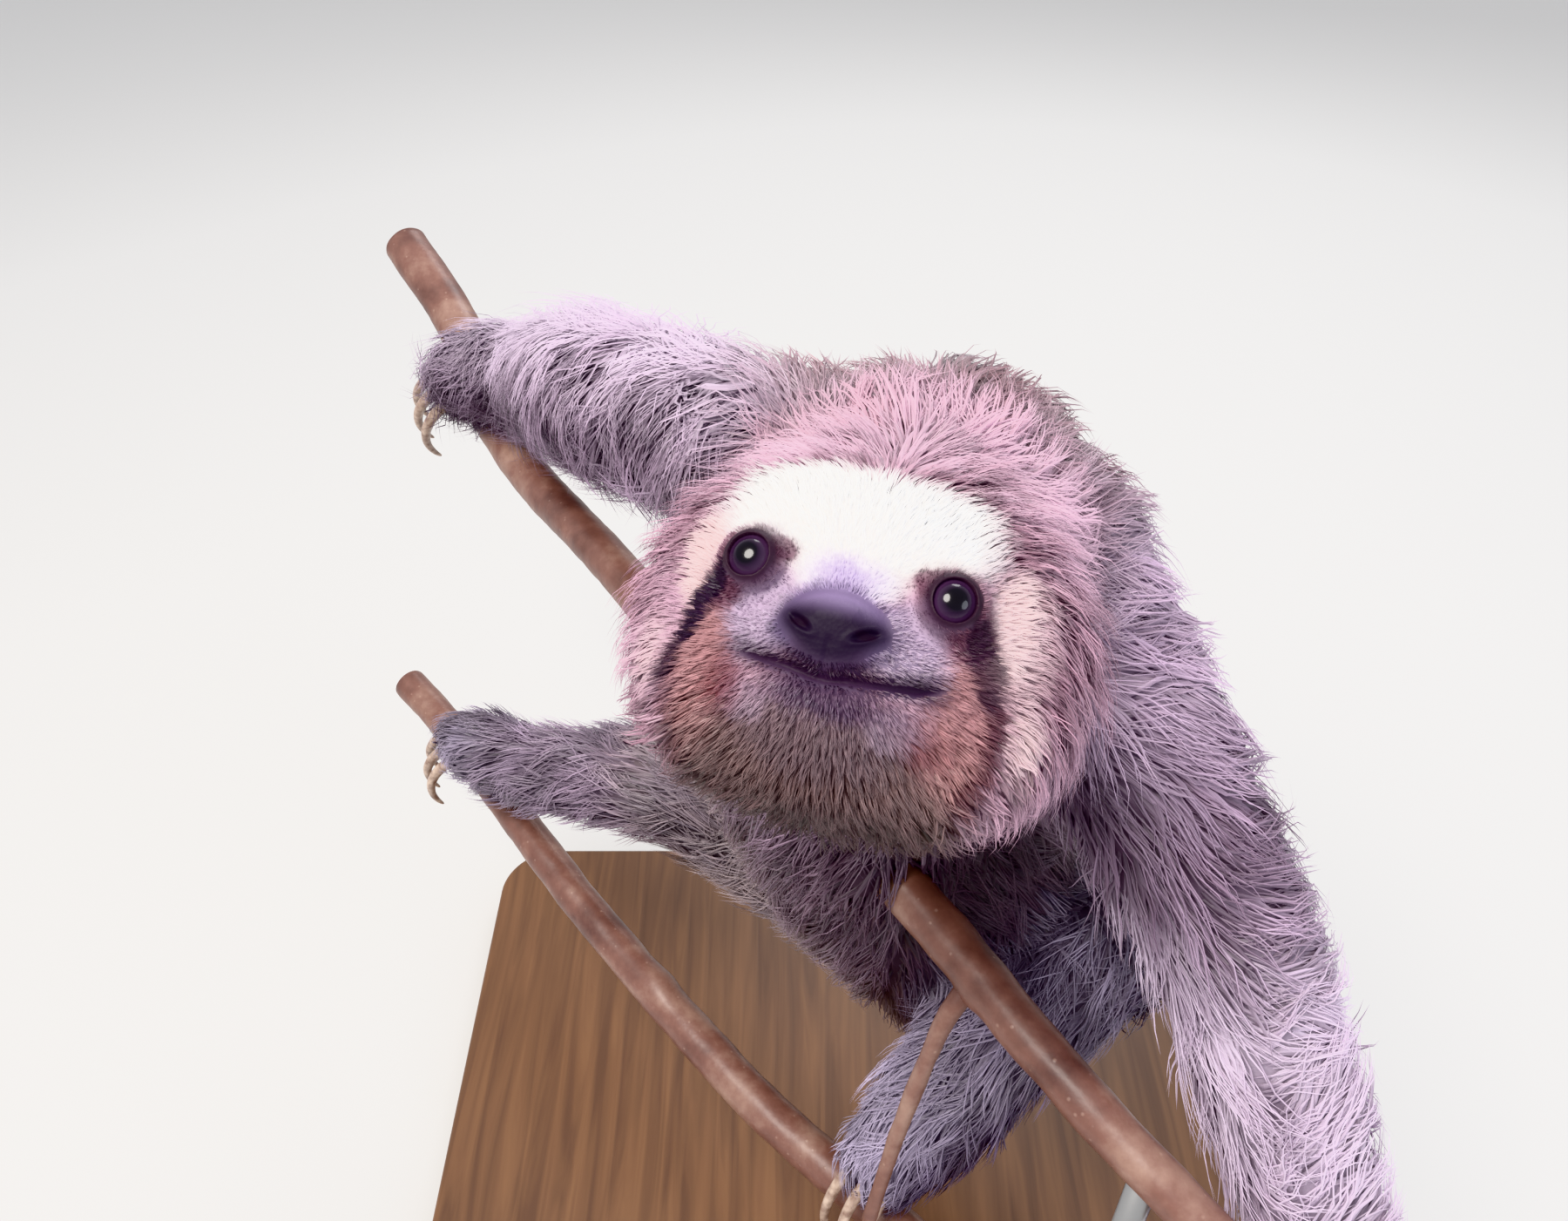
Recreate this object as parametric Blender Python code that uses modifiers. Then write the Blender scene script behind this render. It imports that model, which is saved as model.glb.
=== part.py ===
# A brown-throated three-toed sloth as a still, life-size museum model. It holds an upper
# branch with its right hand and a lower branch with its other hand and both feet.
# Two steel rods on a flat base carry the branches and the body.
# Metres, +Z up, and the animal faces -Y. Left and right are the animal's own.
# Every solid of the body reaches out to the tips of the coat.
import math

import bmesh
import bpy
from mathutils import Matrix, Vector
from mathutils.bvhtree import BVHTree

MM = 0.001
GAP = 0.3 * MM  # between two solids that touch
JOINT_GAP = 0.4 * MM  # the thin cut between two parts of one limb

# head, in its own axes: x to its left, y up, z forward out of the face
HEAD_AT = (5.2, -79.7, 411.6)
HEAD_RADII = (48.5, 41.5, 42.0)
FACE_AIM = (0.0, -0.766, 0.643)  # the way the face looks, before the lift and the turn
CROWN_AIM = (0.26, 0.626, 0.745)  # the way the crown points, which holds the head's roll
FACE_LIFT_DEG = 11.0
FACE_TURN_DEG = 10.0
EYE_AT = (17.2, 3.4, 35.2)
EYE_RADIUS = 5.8
ORBIT_RADIUS = 9.6
ORBIT_OUT = 6.6
MUZZLE_AT, MUZZLE_RADII = (0.0, -11.0, 30.0), (19.5, 14.5, 20.0)
CHEEK_AT, CHEEK_RADII = (19.0, -14.0, 13.0), (25.5, 25.0, 22.0)
CHIN_AT, CHIN_RADII = (0.0, -24.0, 22.0), (22.0, 17.0, 16.0)
NOSE_AT, NOSE_RADII = (0.0, -6.2, 47.6), (9.2, 6.4, 4.6)
MOUTH_HALF, MOUTH_UP, MOUTH_SMILE, MOUTH_GROOVE = 18.0, -16.0, 2.0, 0.9

# trunk: centre and radii of each mass, from the nape to the rump; more are put between them
TRUNK = [
    ((30, 24, 374), (56, 48, 42)),
    ((19, 22, 345), (69, 60, 48)),
    ((23, 28, 290), (71, 64, 50)),
    ((35, 33, 235), (67, 63, 50)),
    ((50, 36, 185), (59, 56, 46)),
    ((61, 38, 152), (49, 48, 44)),
]
TRUNK_STEPS = 5
NECK = [((30, 14, 378), 48), ((21, -28, 394), 44), ((11, -66, 409), 39)]
TAIL = [((63, 66, 132), 17), ((65, 86, 118), 15), ((67, 100, 103), 11)]

# limbs: joint, its place and the radius of the coat there
LIMBS = {
    "arm_right": [
        ("shoulder", (-12, 8, 399), 30),
        ("elbow", (-68, 104, 362), 30),
        ("forearm", (-90, 164, 332), 32),
        ("wrist", (-109, 212, 306), 29),
        ("palm", (-129, 223, 302), 28),
        ("knuckles", (-149, 229, 299), 23),
    ],
    "arm_left": [
        ("shoulder", (56, -2, 376), 35),
        ("elbow", (107, -72, 301), 28),
        ("forearm", (124, -108, 256), 25),
        ("wrist", (143, -146, 209), 21),
        ("palm", (145, -160, 192), 21),
        ("knuckles", (145, -171, 174), 18),
    ],
    "leg_right": [
        ("hip", (34, 40, 162), 36),
        ("knee", (-50, 75, 200), 28),
        ("calf", (-88, 90, 189), 25),
        ("ankle", (-122, 104, 179), 22),
        ("sole", (-138, 115, 176), 22),
        ("knuckles", (-152, 126, 173), 18),
    ],
    "leg_left": [
        ("hip", (84, 24, 152), 36),
        ("knee", (124, -4, 222), 27),
        ("calf", (90, -20, 206), 25),
        ("ankle", (60, -37, 188), 25),
        ("sole", (44, -45, 169), 26),
        ("knuckles", (26, -55, 151), 20),
    ],
}
PARTS = {
    "arm_right": ("upper_arm_right", "forearm_right", "hand_right"),
    "arm_left": ("upper_arm_left", "forearm_left", "hand_left"),
    "leg_right": ("thigh_right", "shin_right", "foot_right"),
    "leg_left": ("thigh_left", "shin_left", "foot_left"),
}

# branches: places along the middle of each, and the wood's radius there
UPPER_BRANCH = [
    ((-196, 322, 318), 10.5),
    ((-166, 279, 299), 10.2),
    ((-146, 236, 277), 9.6),
    ((-120, 190, 270), 9.0),
    ((-74, 115, 277), 8.4),
    ((-22, 34, 274), 8.0),
    ((29, -36, 271), 7.7),
    ((66, -92, 266), 7.0),
    ((98, -127, 254), 6.6),
    ((106, -137, 250), 6.5),
]
TWIG = [((44, -62, 268), 3.6), ((35, -69, 254), 2.9), ((25, -78, 214), 2.5), ((17, -87, 174), 2.2)]
LOWER_BRANCH = [
    ((-192, 178, 158), 7.6),
    ((-160, 143, 151), 7.8),
    ((-95, 62, 136), 8.0),
    ((-27, -14, 127), 8.2),
    ((16, -54, 124), 8.2),
    ((60, -98, 130), 8.0),
    ((102, -130, 140), 7.8),
    ((144, -154, 153), 7.6),
    ((182, -174, 167), 7.2),
]

# claws: length, radius at the root, bend along the length in degrees, spread of the three
FORE_CLAW = (56.0, 3.3, 118.0, 8.2)
HIND_CLAW = (42.0, 2.9, 105.0, 7.4)

# stand
BASE_AT, BASE_SIZE, BASE_CORNER = (15.0, 0.0), (360.0, 380.0, 18.0), 28.0
BASE_BEVEL = 2.5
ROD_RADIUS = 4.0
FRONT_ROD_AT = (84.0, -113.0)
REAR_ROD_AT = (60.0, 40.0)
FRONT_ROD_TOP, REAR_ROD_TOP = 257.5, 126.0
ROD_SEAT = 8.0  # how deep a rod sits in the base

VOXEL_BODY, VOXEL_LIMB, VOXEL_HEAD = 5.0, 3.6, 2.6
FACES = {"trunk": 660, "neck": 150, "tail": 90, "head": 800, "arm": 430, "leg": 400}

COLOURS = {
    "coat": (0.36, 0.27, 0.26, 1.0),
    "skin": (0.05, 0.035, 0.04, 1.0),
    "eye": (0.02, 0.012, 0.012, 1.0),
    "claw": (0.55, 0.44, 0.28, 1.0),
    "bark": (0.30, 0.17, 0.12, 1.0),
    "base": (0.30, 0.20, 0.12, 1.0),
    "steel": (0.55, 0.55, 0.55, 1.0),
}

for old in list(bpy.data.objects):
    bpy.data.objects.remove(old, do_unlink=True)
sloth = bpy.data.collections.new("three_toed_sloth")
bpy.context.scene.collection.children.link(sloth)


def mm(place):
    return Vector(place) * MM


def body(name, mesh):
    made = bpy.data.objects.new(name, mesh)
    sloth.objects.link(made)
    return made


def from_bmesh(name, bm):
    bmesh.ops.recalc_face_normals(bm, faces=bm.faces[:])
    mesh = bpy.data.meshes.new(name)
    bm.to_mesh(mesh)
    bm.free()
    return body(name, mesh)


def settled(made):
    # the object's modifiers become its mesh
    bpy.context.view_layer.update()
    seen = made.evaluated_get(bpy.context.evaluated_depsgraph_get())
    mesh = bpy.data.meshes.new_from_object(seen)
    made.modifiers.clear()
    old, made.data = made.data, mesh
    bpy.data.meshes.remove(old)
    return made


def add_ellipsoid(bm, centre, radii, axes=None, detail=3):
    ball = bmesh.ops.create_icosphere(bm, subdivisions=detail, radius=1.0)["verts"]
    turn = (axes or Matrix.Identity(3)) @ Matrix.Diagonal(Vector(radii))
    for vert in ball:
        vert.co = centre + turn @ vert.co


def add_chain(bm, stations):
    # balls close together along the line, whose union is a smooth tapering limb
    for (a, ra), (b, rb) in zip(stations, stations[1:]):
        steps = max(2, int((mm(b) - mm(a)).length / (min(ra, rb) * MM * 0.22)))
        for i in range(steps + 1):
            t = i / steps
            r = (ra + (rb - ra) * t) * MM
            add_ellipsoid(bm, mm(a).lerp(mm(b), t), (r, r, r), detail=2)


def blended(made, voxel, smooth, faces):
    # one closed surface around all the masses, eased where they meet
    m = made.modifiers.new("union", "REMESH")
    m.mode, m.voxel_size = "VOXEL", voxel * MM
    m = made.modifiers.new("ease", "SMOOTH")
    m.factor, m.iterations = 0.5, smooth
    settled(made)
    m = made.modifiers.new("facets", "DECIMATE")
    m.ratio = min(1.0, faces / (2.0 * len(made.data.polygons)))
    return settled(made)


def grown(made, by=GAP):
    # a copy pushed out along its normals, to cut with
    bm = bmesh.new()
    bm.from_mesh(made.data)
    bm.normal_update()
    for vert in bm.verts:
        vert.co += vert.normal * by
    mesh = bpy.data.meshes.new(made.name + "_cutter")
    bm.to_mesh(mesh)
    bm.free()
    return body(made.name + "_cutter", mesh)


def cut(made, *cutters, keep=False):
    for cutter in cutters:
        m = made.modifiers.new("cut", "BOOLEAN")
        m.operation, m.solver, m.object = "DIFFERENCE", "EXACT", cutter
        settled(made)
        if not keep:
            bpy.data.objects.remove(cutter, do_unlink=True)
    return tidy(made)


def tidy(made):
    # drops slivers and loose crumbs that a cut leaves behind
    bm = bmesh.new()
    bm.from_mesh(made.data)
    bmesh.ops.remove_doubles(bm, verts=bm.verts[:], dist=0.00002)
    bmesh.ops.dissolve_degenerate(bm, edges=bm.edges[:], dist=0.00002)
    bmesh.ops.triangulate(bm, faces=bm.faces[:])
    groups = islands(bm)
    crumbs = [v for g in groups if len(g) < 0.04 * len(bm.verts) for v in g]
    bmesh.ops.delete(bm, geom=crumbs, context="VERTS")
    bm.to_mesh(made.data)
    bm.free()
    return made


def islands(bm):
    seen, groups = set(), []
    for start in bm.verts:
        if start in seen:
            continue
        seen.add(start)
        group, todo = [], [start]
        while todo:
            vert = todo.pop()
            group.append(vert)
            for edge in vert.link_edges:
                other = edge.other_vert(vert)
                if other not in seen:
                    seen.add(other)
                    todo.append(other)
        groups.append(group)
    return groups


def disc(name, centre, axis, radius, thick=JOINT_GAP):
    bm = bmesh.new()
    turn = axis.to_track_quat("Z", "Y").to_matrix().to_4x4()
    bmesh.ops.create_cone(
        bm, cap_ends=True, segments=24, radius1=radius, radius2=radius, depth=thick,
        matrix=Matrix.Translation(centre) @ turn,
    )
    return from_bmesh(name, bm)


def parted(made, cuts, names):
    # cuts right across a limb, then names the pieces in order along it
    for centre, axis, radius in cuts:
        cut(made, disc("joint", centre, axis, radius))
    bm = bmesh.new()
    bm.from_mesh(made.data)
    groups = [g for g in islands(bm) if len(g) > 12]
    pieces = []
    for group in groups:
        middle = sum((v.co for v in group), Vector()) / len(group)
        beyond = sum((middle - c).dot(a) > 0 for c, a, _ in cuts)
        pieces.append((beyond, group))
    out = []
    for beyond, group in sorted(pieces, key=lambda p: p[0]):
        copy = bm.copy()
        copy.verts.ensure_lookup_table()
        wanted = {v.index for v in group}
        bmesh.ops.delete(
            copy, geom=[v for v in copy.verts if v.index not in wanted], context="VERTS"
        )
        out.append(from_bmesh(names[beyond], copy))
    bm.free()
    bpy.data.objects.remove(made, do_unlink=True)
    return out


def tube(name, stations, sides=8, grow=0.0, per=2):
    # a branch: rings along a smooth curve through the stations, with flat ends
    points = [mm(p) for p, _ in stations]
    radii = [r * MM + grow for _, r in stations]
    line = []
    for i in range(len(points) - 1):
        before = points[i - 1] if i else points[i] * 2 - points[i + 1]
        after = points[i + 2] if i + 2 < len(points) else points[i + 1] * 2 - points[i]
        p1, p2 = points[i], points[i + 1]
        for k in range(per):
            t = k / per
            place = 0.5 * (
                2 * p1 + (p2 - before) * t + (2 * before - 5 * p1 + 4 * p2 - after) * t * t
                + (3 * p1 - before - 3 * p2 + after) * t ** 3
            )
            line.append((place, radii[i] + (radii[i + 1] - radii[i]) * t))
    line.append((points[-1], radii[-1]))
    bm = bmesh.new()
    rings = []
    side = Vector((0, 0, 1))
    for i, (place, radius) in enumerate(line):
        ahead = line[min(i + 1, len(line) - 1)][0] - line[max(i - 1, 0)][0]
        ahead.normalize()
        side = (side - ahead * side.dot(ahead)).normalized()
        other = ahead.cross(side)
        ring = []
        for k in range(sides):
            turn = math.tau * k / sides
            ring.append(bm.verts.new(
                place + (side * math.cos(turn) + other * math.sin(turn)) * radius
            ))
        rings.append(ring)
    for a, b in zip(rings, rings[1:]):
        for k in range(sides):
            bm.faces.new((a[k], a[(k + 1) % sides], b[(k + 1) % sides], b[k]))
    bm.faces.new(rings[0])
    bm.faces.new(rings[-1])
    return from_bmesh(name, bm)


def claw(name, root, ahead, curl, shape, grow=0.0, rings=6, sides=6):
    # a tapering hook that bends from ahead towards curl; its root sits inside the coat
    length, radius, bend, _ = shape
    length, radius = length * MM, radius * MM
    turn_radius = length / math.radians(bend)
    across = ahead.cross(curl).normalized()
    bm = bmesh.new()
    made = []
    for i in range(-1, rings):
        s = max(i, 0) / rings
        angle = s * length / turn_radius
        place = root + ahead * (turn_radius * math.sin(angle))
        place += curl * (turn_radius * (1 - math.cos(angle)))
        out = curl * math.cos(angle) - ahead * math.sin(angle)
        if i < 0:
            place -= ahead * (9.0 * MM + grow)
        r = radius * (1.0 - 0.82 * s ** 1.4) + grow
        ring = []
        for k in range(sides):
            t = math.tau * k / sides
            ring.append(bm.verts.new(
                place + across * (0.8 * r * math.cos(t)) + out * (r * math.sin(t))
            ))
        made.append(ring)
    angle = length / turn_radius
    tip = root + ahead * (turn_radius * math.sin(angle))
    tip += curl * (turn_radius * (1 - math.cos(angle)))
    point = bm.verts.new(tip)
    for a, b in zip(made, made[1:]):
        for k in range(sides):
            bm.faces.new((a[k], a[(k + 1) % sides], b[(k + 1) % sides], b[k]))
    for k in range(sides):
        bm.faces.new((made[-1][k], made[-1][(k + 1) % sides], point))
    bm.faces.new(made[0])
    return from_bmesh(name, bm)


def paint(made, kind):
    m = bpy.data.materials.get(kind + "_of_" + made.name)
    m = m or bpy.data.materials.new(kind + "_of_" + made.name)
    m.use_nodes = True
    m.node_tree.nodes["Principled BSDF"].inputs["Base Color"].default_value = COLOURS[kind]
    made.data.materials.clear()
    made.data.materials.append(m)
    for face in made.data.polygons:
        face.use_smooth = False


# head: skull and coat as one mass with muzzle, cheeks and chin
aim, up = Vector(FACE_AIM).normalized(), Vector(CROWN_AIM).normalized()
lift = math.radians(FACE_LIFT_DEG)
aim, up = aim * math.cos(lift) + up * math.sin(lift), up * math.cos(lift) - aim * math.sin(lift)
left = up.cross(aim).normalized()
turn = math.radians(FACE_TURN_DEG)
aim = (aim * math.cos(turn) - left * math.sin(turn)).normalized()
left = up.cross(aim).normalized()
up = aim.cross(left).normalized()
head_axes = Matrix((left, up, aim)).transposed()


def in_head(place):
    return mm(HEAD_AT) + head_axes @ mm(place)


bm = bmesh.new()
add_ellipsoid(bm, mm(HEAD_AT), mm(HEAD_RADII), head_axes)
add_ellipsoid(bm, in_head(MUZZLE_AT), mm(MUZZLE_RADII), head_axes)
add_ellipsoid(bm, in_head(CHIN_AT), mm(CHIN_RADII), head_axes)
for side in (-1, 1):
    cheek = (CHEEK_AT[0] * side, CHEEK_AT[1], CHEEK_AT[2])
    add_ellipsoid(bm, in_head(cheek), mm(CHEEK_RADII), head_axes)
head = blended(from_bmesh("head", bm), VOXEL_HEAD, 8, FACES["head"])

eyes = []
for side, word in ((1, "left"), (-1, "right")):
    spot = (EYE_AT[0] * side, EYE_AT[1], EYE_AT[2])
    out = (head_axes @ Vector((0.5 * side, 0.05, 1.0))).normalized()
    for name, radius, centre in (
        ("orbit", ORBIT_RADIUS, in_head(spot) + out * (ORBIT_OUT * MM)),
        ("socket", EYE_RADIUS + GAP / MM, in_head(spot)),
    ):
        bm = bmesh.new()
        add_ellipsoid(bm, centre, (radius * MM,) * 3, detail=2)
        cut(head, from_bmesh(name, bm))
    bm = bmesh.new()
    add_ellipsoid(bm, in_head(spot), (EYE_RADIUS * MM,) * 3, detail=2)
    eyes.append(from_bmesh("eye_" + word, bm))

bm = bmesh.new()
add_ellipsoid(bm, in_head(NOSE_AT), mm(NOSE_RADII), head_axes, detail=2)
nose = from_bmesh("nose", bm)

# the mouth is a shallow groove that runs round the muzzle
surface = BVHTree.FromPolygons(
    [v.co.copy() for v in head.data.vertices], [tuple(p.vertices) for p in head.data.polygons]
)
lips = []
for i in range(13):
    across = MOUTH_HALF * (i - 6) / 6
    height = MOUTH_UP + MOUTH_SMILE * (across / MOUTH_HALF) ** 2
    start = in_head((across, height, 70.0))
    hit = surface.ray_cast(start, -aim)[0]
    lips.append((tuple(hit / MM), MOUTH_GROOVE))
cut(head, tube("mouth", lips, sides=6, per=1))
cut(head, grown(nose))

# trunk, neck and tail
bm = bmesh.new()
for (a, ra), (b, rb) in zip(TRUNK, TRUNK[1:]):
    for i in range(TRUNK_STEPS + 1):
        t = i / TRUNK_STEPS
        add_ellipsoid(bm, mm(a).lerp(mm(b), t), mm(ra).lerp(mm(rb), t))
trunk = blended(from_bmesh("trunk", bm), VOXEL_BODY, 10, FACES["trunk"])
bm = bmesh.new()
add_chain(bm, NECK)
neck = blended(from_bmesh("neck", bm), VOXEL_LIMB, 4, FACES["neck"])
bm = bmesh.new()
add_chain(bm, TAIL)
tail = blended(from_bmesh("tail", bm), VOXEL_LIMB, 3, FACES["tail"])

trunk_cutter, head_cutter = grown(trunk), grown(head)
cut(neck, trunk_cutter, head_cutter, keep=True)
cut(trunk, head_cutter, keep=True)
cut(tail, trunk_cutter, keep=True)
neck_cutter = grown(neck)

# branches, and the cutters that keep the coat and the claws off them
branches = [tube("branch_upper", UPPER_BRANCH), tube("branch_lower", LOWER_BRANCH)]
# the side twig starts inside the upper branch, and the two become one solid
twig = tube("twig", TWIG, sides=6)
m = branches[0].modifiers.new("twig", "BOOLEAN")
m.operation, m.solver, m.object = "UNION", "EXACT", twig
settled(branches[0])
bpy.data.objects.remove(twig, do_unlink=True)
tidy(branches[0])
branch_cutters = [
    tube("upper_cutter", UPPER_BRANCH, grow=1.6 * GAP),
    tube("lower_cutter", LOWER_BRANCH, grow=1.6 * GAP),
]

# limbs: each is one blended mass, cleared of what it touches and cut at its two joints
pieces, claws = [], []
for limb, stations in LIMBS.items():
    bm = bmesh.new()
    add_chain(bm, [(place, radius) for _, place, radius in stations])
    kind = limb.split("_")[0]
    made = blended(from_bmesh(limb, bm), VOXEL_LIMB, 4, FACES[kind])
    cut(made, trunk_cutter, keep=True)
    if kind == "arm":
        cut(made, neck_cutter, head_cutter, keep=True)
    where = {name: mm(place) for name, place, _ in stations}
    cuts = []
    for i in (1, 3):
        before = (mm(stations[i][1]) - mm(stations[i - 1][1])).normalized()
        after = (mm(stations[i + 1][1]) - mm(stations[i][1])).normalized()
        # a folded joint needs a wider cut, across the crook too
        reach = 1.35 + 2.2 * max(0.0, 0.5 - before.dot(after))
        cuts.append((mm(stations[i][1]), (before + after).normalized(), stations[i][2] * reach * MM))
    parts = parted(made, cuts, PARTS[limb])

    # three claws hook over the branch that the knuckles rest on
    hand = parts[-1]
    knuckles, before = where["knuckles"], stations[-2][1]
    branch = UPPER_BRANCH if limb == "arm_right" else LOWER_BRANCH
    near = min(range(len(branch) - 1), key=lambda i: (
        (mm(branch[i][0]) + mm(branch[i + 1][0])) / 2 - knuckles).length)
    a, b = mm(branch[near][0]), mm(branch[near + 1][0])
    along = (b - a).normalized()
    centre = a + along * (knuckles - a).dot(along)
    outward = (knuckles - centre).normalized()
    ahead = knuckles - mm(before)
    ahead = ahead - along * ahead.dot(along) * 0.85
    ahead = (ahead - outward * ahead.dot(outward) * 0.6).normalized()
    curl = (-outward + ahead * outward.dot(ahead)).normalized()
    across = ahead.cross(curl).normalized()
    shape = FORE_CLAW if kind == "arm" else HIND_CLAW
    for i in range(3):
        off = (i - 1) * shape[3] * MM
        root = knuckles + ahead * (9.0 * MM - abs(i - 1) * 1.5 * MM) + across * off
        root += curl * (1.0 * MM)
        fan = (ahead + across * (i - 1) * 0.10).normalized()
        label = "claw_" + hand.name + "_" + str(i + 1)
        bend = (curl - fan * curl.dot(fan)).normalized()
        claws.append(claw(label, root, fan, bend, shape))
        cut(hand, claw("claw_cutter", root, fan, bend, shape, grow=1.3 * GAP))
    for cutter in branch_cutters:
        for piece in parts:
            cut(piece, cutter, keep=True)
    pieces += parts

for cutter in branch_cutters:
    cut(trunk, cutter, keep=True)

# stand: a flat base with two rods. The front rod goes through the lower branch and ends
# inside the upper one; the rear rod ends inside the body.
bm = bmesh.new()
bmesh.ops.create_cube(bm, size=1.0)
for vert in bm.verts:
    vert.co = Vector((
        vert.co.x * BASE_SIZE[0] + BASE_AT[0], vert.co.y * BASE_SIZE[1] + BASE_AT[1],
        (vert.co.z + 0.5) * BASE_SIZE[2],
    )) * MM
upright = [e for e in bm.edges if abs(e.verts[0].co.z - e.verts[1].co.z) > 0.001]
bmesh.ops.bevel(bm, geom=upright, offset=BASE_CORNER * MM, segments=5, profile=0.5, affect="EDGES")
rim = [e for e in bm.edges if all(v.co.z > (BASE_SIZE[2] - 0.01) * MM for v in e.verts)]
bmesh.ops.bevel(bm, geom=rim, offset=BASE_BEVEL * MM, segments=1, profile=0.5, affect="EDGES")
base = from_bmesh("stand_base", bm)


def rod(name, at, low, high, radius):
    bm = bmesh.new()
    bmesh.ops.create_cone(
        bm, cap_ends=True, segments=20, radius1=radius * MM, radius2=radius * MM,
        depth=(high - low) * MM, matrix=Matrix.Translation(mm((*at, (low + high) / 2))),
    )
    return from_bmesh(name, bm)


rods = []
foot = BASE_SIZE[2] - ROD_SEAT
for name, at, top in (
    ("stand_rod_front", FRONT_ROD_AT, FRONT_ROD_TOP),
    ("stand_rod_rear", REAR_ROD_AT, REAR_ROD_TOP),
):
    rods.append(rod(name, at, foot, top, ROD_RADIUS))
    hole = rod("hole", at, foot - 0.3, top + 0.3, ROD_RADIUS + 0.3)
    for piece in [base] + (branches if "front" in name else [trunk]):
        cut(piece, hole, keep=True)
    bpy.data.objects.remove(hole, do_unlink=True)

for cutter in [trunk_cutter, head_cutter, neck_cutter] + branch_cutters:
    bpy.data.objects.remove(cutter, do_unlink=True)

flesh = [head, neck, trunk, tail] + pieces
for kind, made in (("coat", flesh), ("skin", [nose]), ("eye", eyes), ("claw", claws),
                   ("bark", branches), ("base", [base]), ("steel", rods)):
    for one in made:
        paint(one, kind)

# the origin is at the middle of the bounding box, on the base's underside
everything = list(sloth.objects)
low = [min(v.co[i] for o in everything for v in o.data.vertices) for i in range(3)]
high = [max(v.co[i] for o in everything for v in o.data.vertices) for i in range(3)]
shift = Vector((-(low[0] + high[0]) / 2, -(low[1] + high[1]) / 2, -low[2]))
total = 0
for one in everything:
    for vert in one.data.vertices:
        vert.co += shift
    one.data.update()
    total += sum(len(p.vertices) - 2 for p in one.data.polygons)
print("shift", [round(s / MM, 2) for s in shift], "triangles", total, "nodes", len(everything))
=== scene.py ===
# Looks of the three-toed sloth model: one skin over all the flesh, a coat of solid locks,
# eyes, claws, two cut branches and the display stand, on a pale studio floor.
import math

import bmesh
import bpy
import numpy as np
from mathutils import Matrix, Vector, noise
from mathutils.bvhtree import BVHTree
from mathutils.kdtree import KDTree


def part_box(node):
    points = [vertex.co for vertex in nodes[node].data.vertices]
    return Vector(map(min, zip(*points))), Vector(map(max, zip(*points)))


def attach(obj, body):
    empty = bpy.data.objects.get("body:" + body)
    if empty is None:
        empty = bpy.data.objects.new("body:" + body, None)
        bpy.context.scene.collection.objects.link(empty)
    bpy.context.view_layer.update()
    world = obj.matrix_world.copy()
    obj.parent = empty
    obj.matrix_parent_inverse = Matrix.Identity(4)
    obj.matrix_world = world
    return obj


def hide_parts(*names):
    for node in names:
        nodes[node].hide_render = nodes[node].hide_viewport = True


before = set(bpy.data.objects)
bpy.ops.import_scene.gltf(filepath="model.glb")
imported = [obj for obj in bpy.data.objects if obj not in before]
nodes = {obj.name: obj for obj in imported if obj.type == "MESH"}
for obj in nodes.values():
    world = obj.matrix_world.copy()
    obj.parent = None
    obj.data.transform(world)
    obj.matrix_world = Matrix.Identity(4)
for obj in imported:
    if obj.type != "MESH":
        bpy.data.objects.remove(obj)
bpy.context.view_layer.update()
mm = 0.001
dice = np.random.default_rng(11)


def toLinear(code):
    parts = [int(code[i:i + 2], 16) / 255 for i in (1, 3, 5)]
    return np.array([((c + 0.055) / 1.055) ** 2.4 if c > 0.04045 else c / 12.92 for c in parts])


def eased(t, low=0.0, high=1.0):  # 0 below low, 1 above high
    t = np.clip((t - low) / (high - low), 0.0, 1.0)
    return t * t * (3 - 2 * t)


def unit(v):
    return v / np.maximum(np.linalg.norm(v, axis=-1, keepdims=True), 1e-9)


def mixed(a, b, t):
    t = np.asarray(t)[..., None] if np.ndim(t) else t
    return a * (1 - t) + b * t


def ridge(t, at, wide, high=1.0):  # as high as that where t is at its place, and gone beyond its width
    return high * np.exp(-((t - at) / wide) ** 2)


def noiseAt(points, lump, shift=0.0):  # soft noise from -1 to 1 with lumps of that size in mm
    return np.array([noise.noise(Vector(p)) for p in points / (lump * mm) + shift])


def middle(node):
    low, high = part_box(node)
    return np.array((low + high) / 2)


# the head's own axes, found from the eyes and the nose: x to its left, y up, z out of the face
headPlan = {
    "eye": (17.2, 3.4, 35.2),
    "nose": (0.0, -6.2, 47.6),
    "centre": (5.2, -79.7, 411.6),
    "half": (50, 45, 48),
    "face": (0, -3, 34, 29),  # an oval: its middle, half width and half height
    "muzzleTip": (0, -6, 44),
}
betweenEyes = (middle("eye_left") + middle("eye_right")) / 2
leftward = unit(middle("eye_left") - middle("eye_right"))
toNose = middle("nose") - betweenEyes
toNose = unit(toNose - leftward * (toNose @ leftward))
dropToNose = headPlan["nose"][1] - headPlan["eye"][1]
reachToNose = headPlan["nose"][2] - headPlan["eye"][2]
tilt = math.atan2(-dropToNose, reachToNose)
square = np.cross(toNose, leftward)
upward = -math.sin(tilt) * toNose + math.cos(tilt) * square
facing = math.cos(tilt) * toNose + math.sin(tilt) * square
headAxes = np.array([leftward, upward, facing])
headCentre = betweenEyes - (upward * headPlan["eye"][1] + facing * headPlan["eye"][2]) * mm
fromPlan = headCentre - np.array(headPlan["centre"]) * mm


def toHead(points):
    return (points - headCentre) @ headAxes.T / mm


def fromHead(local):
    return np.asarray(local) * mm @ headAxes + headCentre


def placed(plan):  # a place in the solids' plan, in the row frame
    return np.asarray(plan, float) * mm + fromPlan


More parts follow.
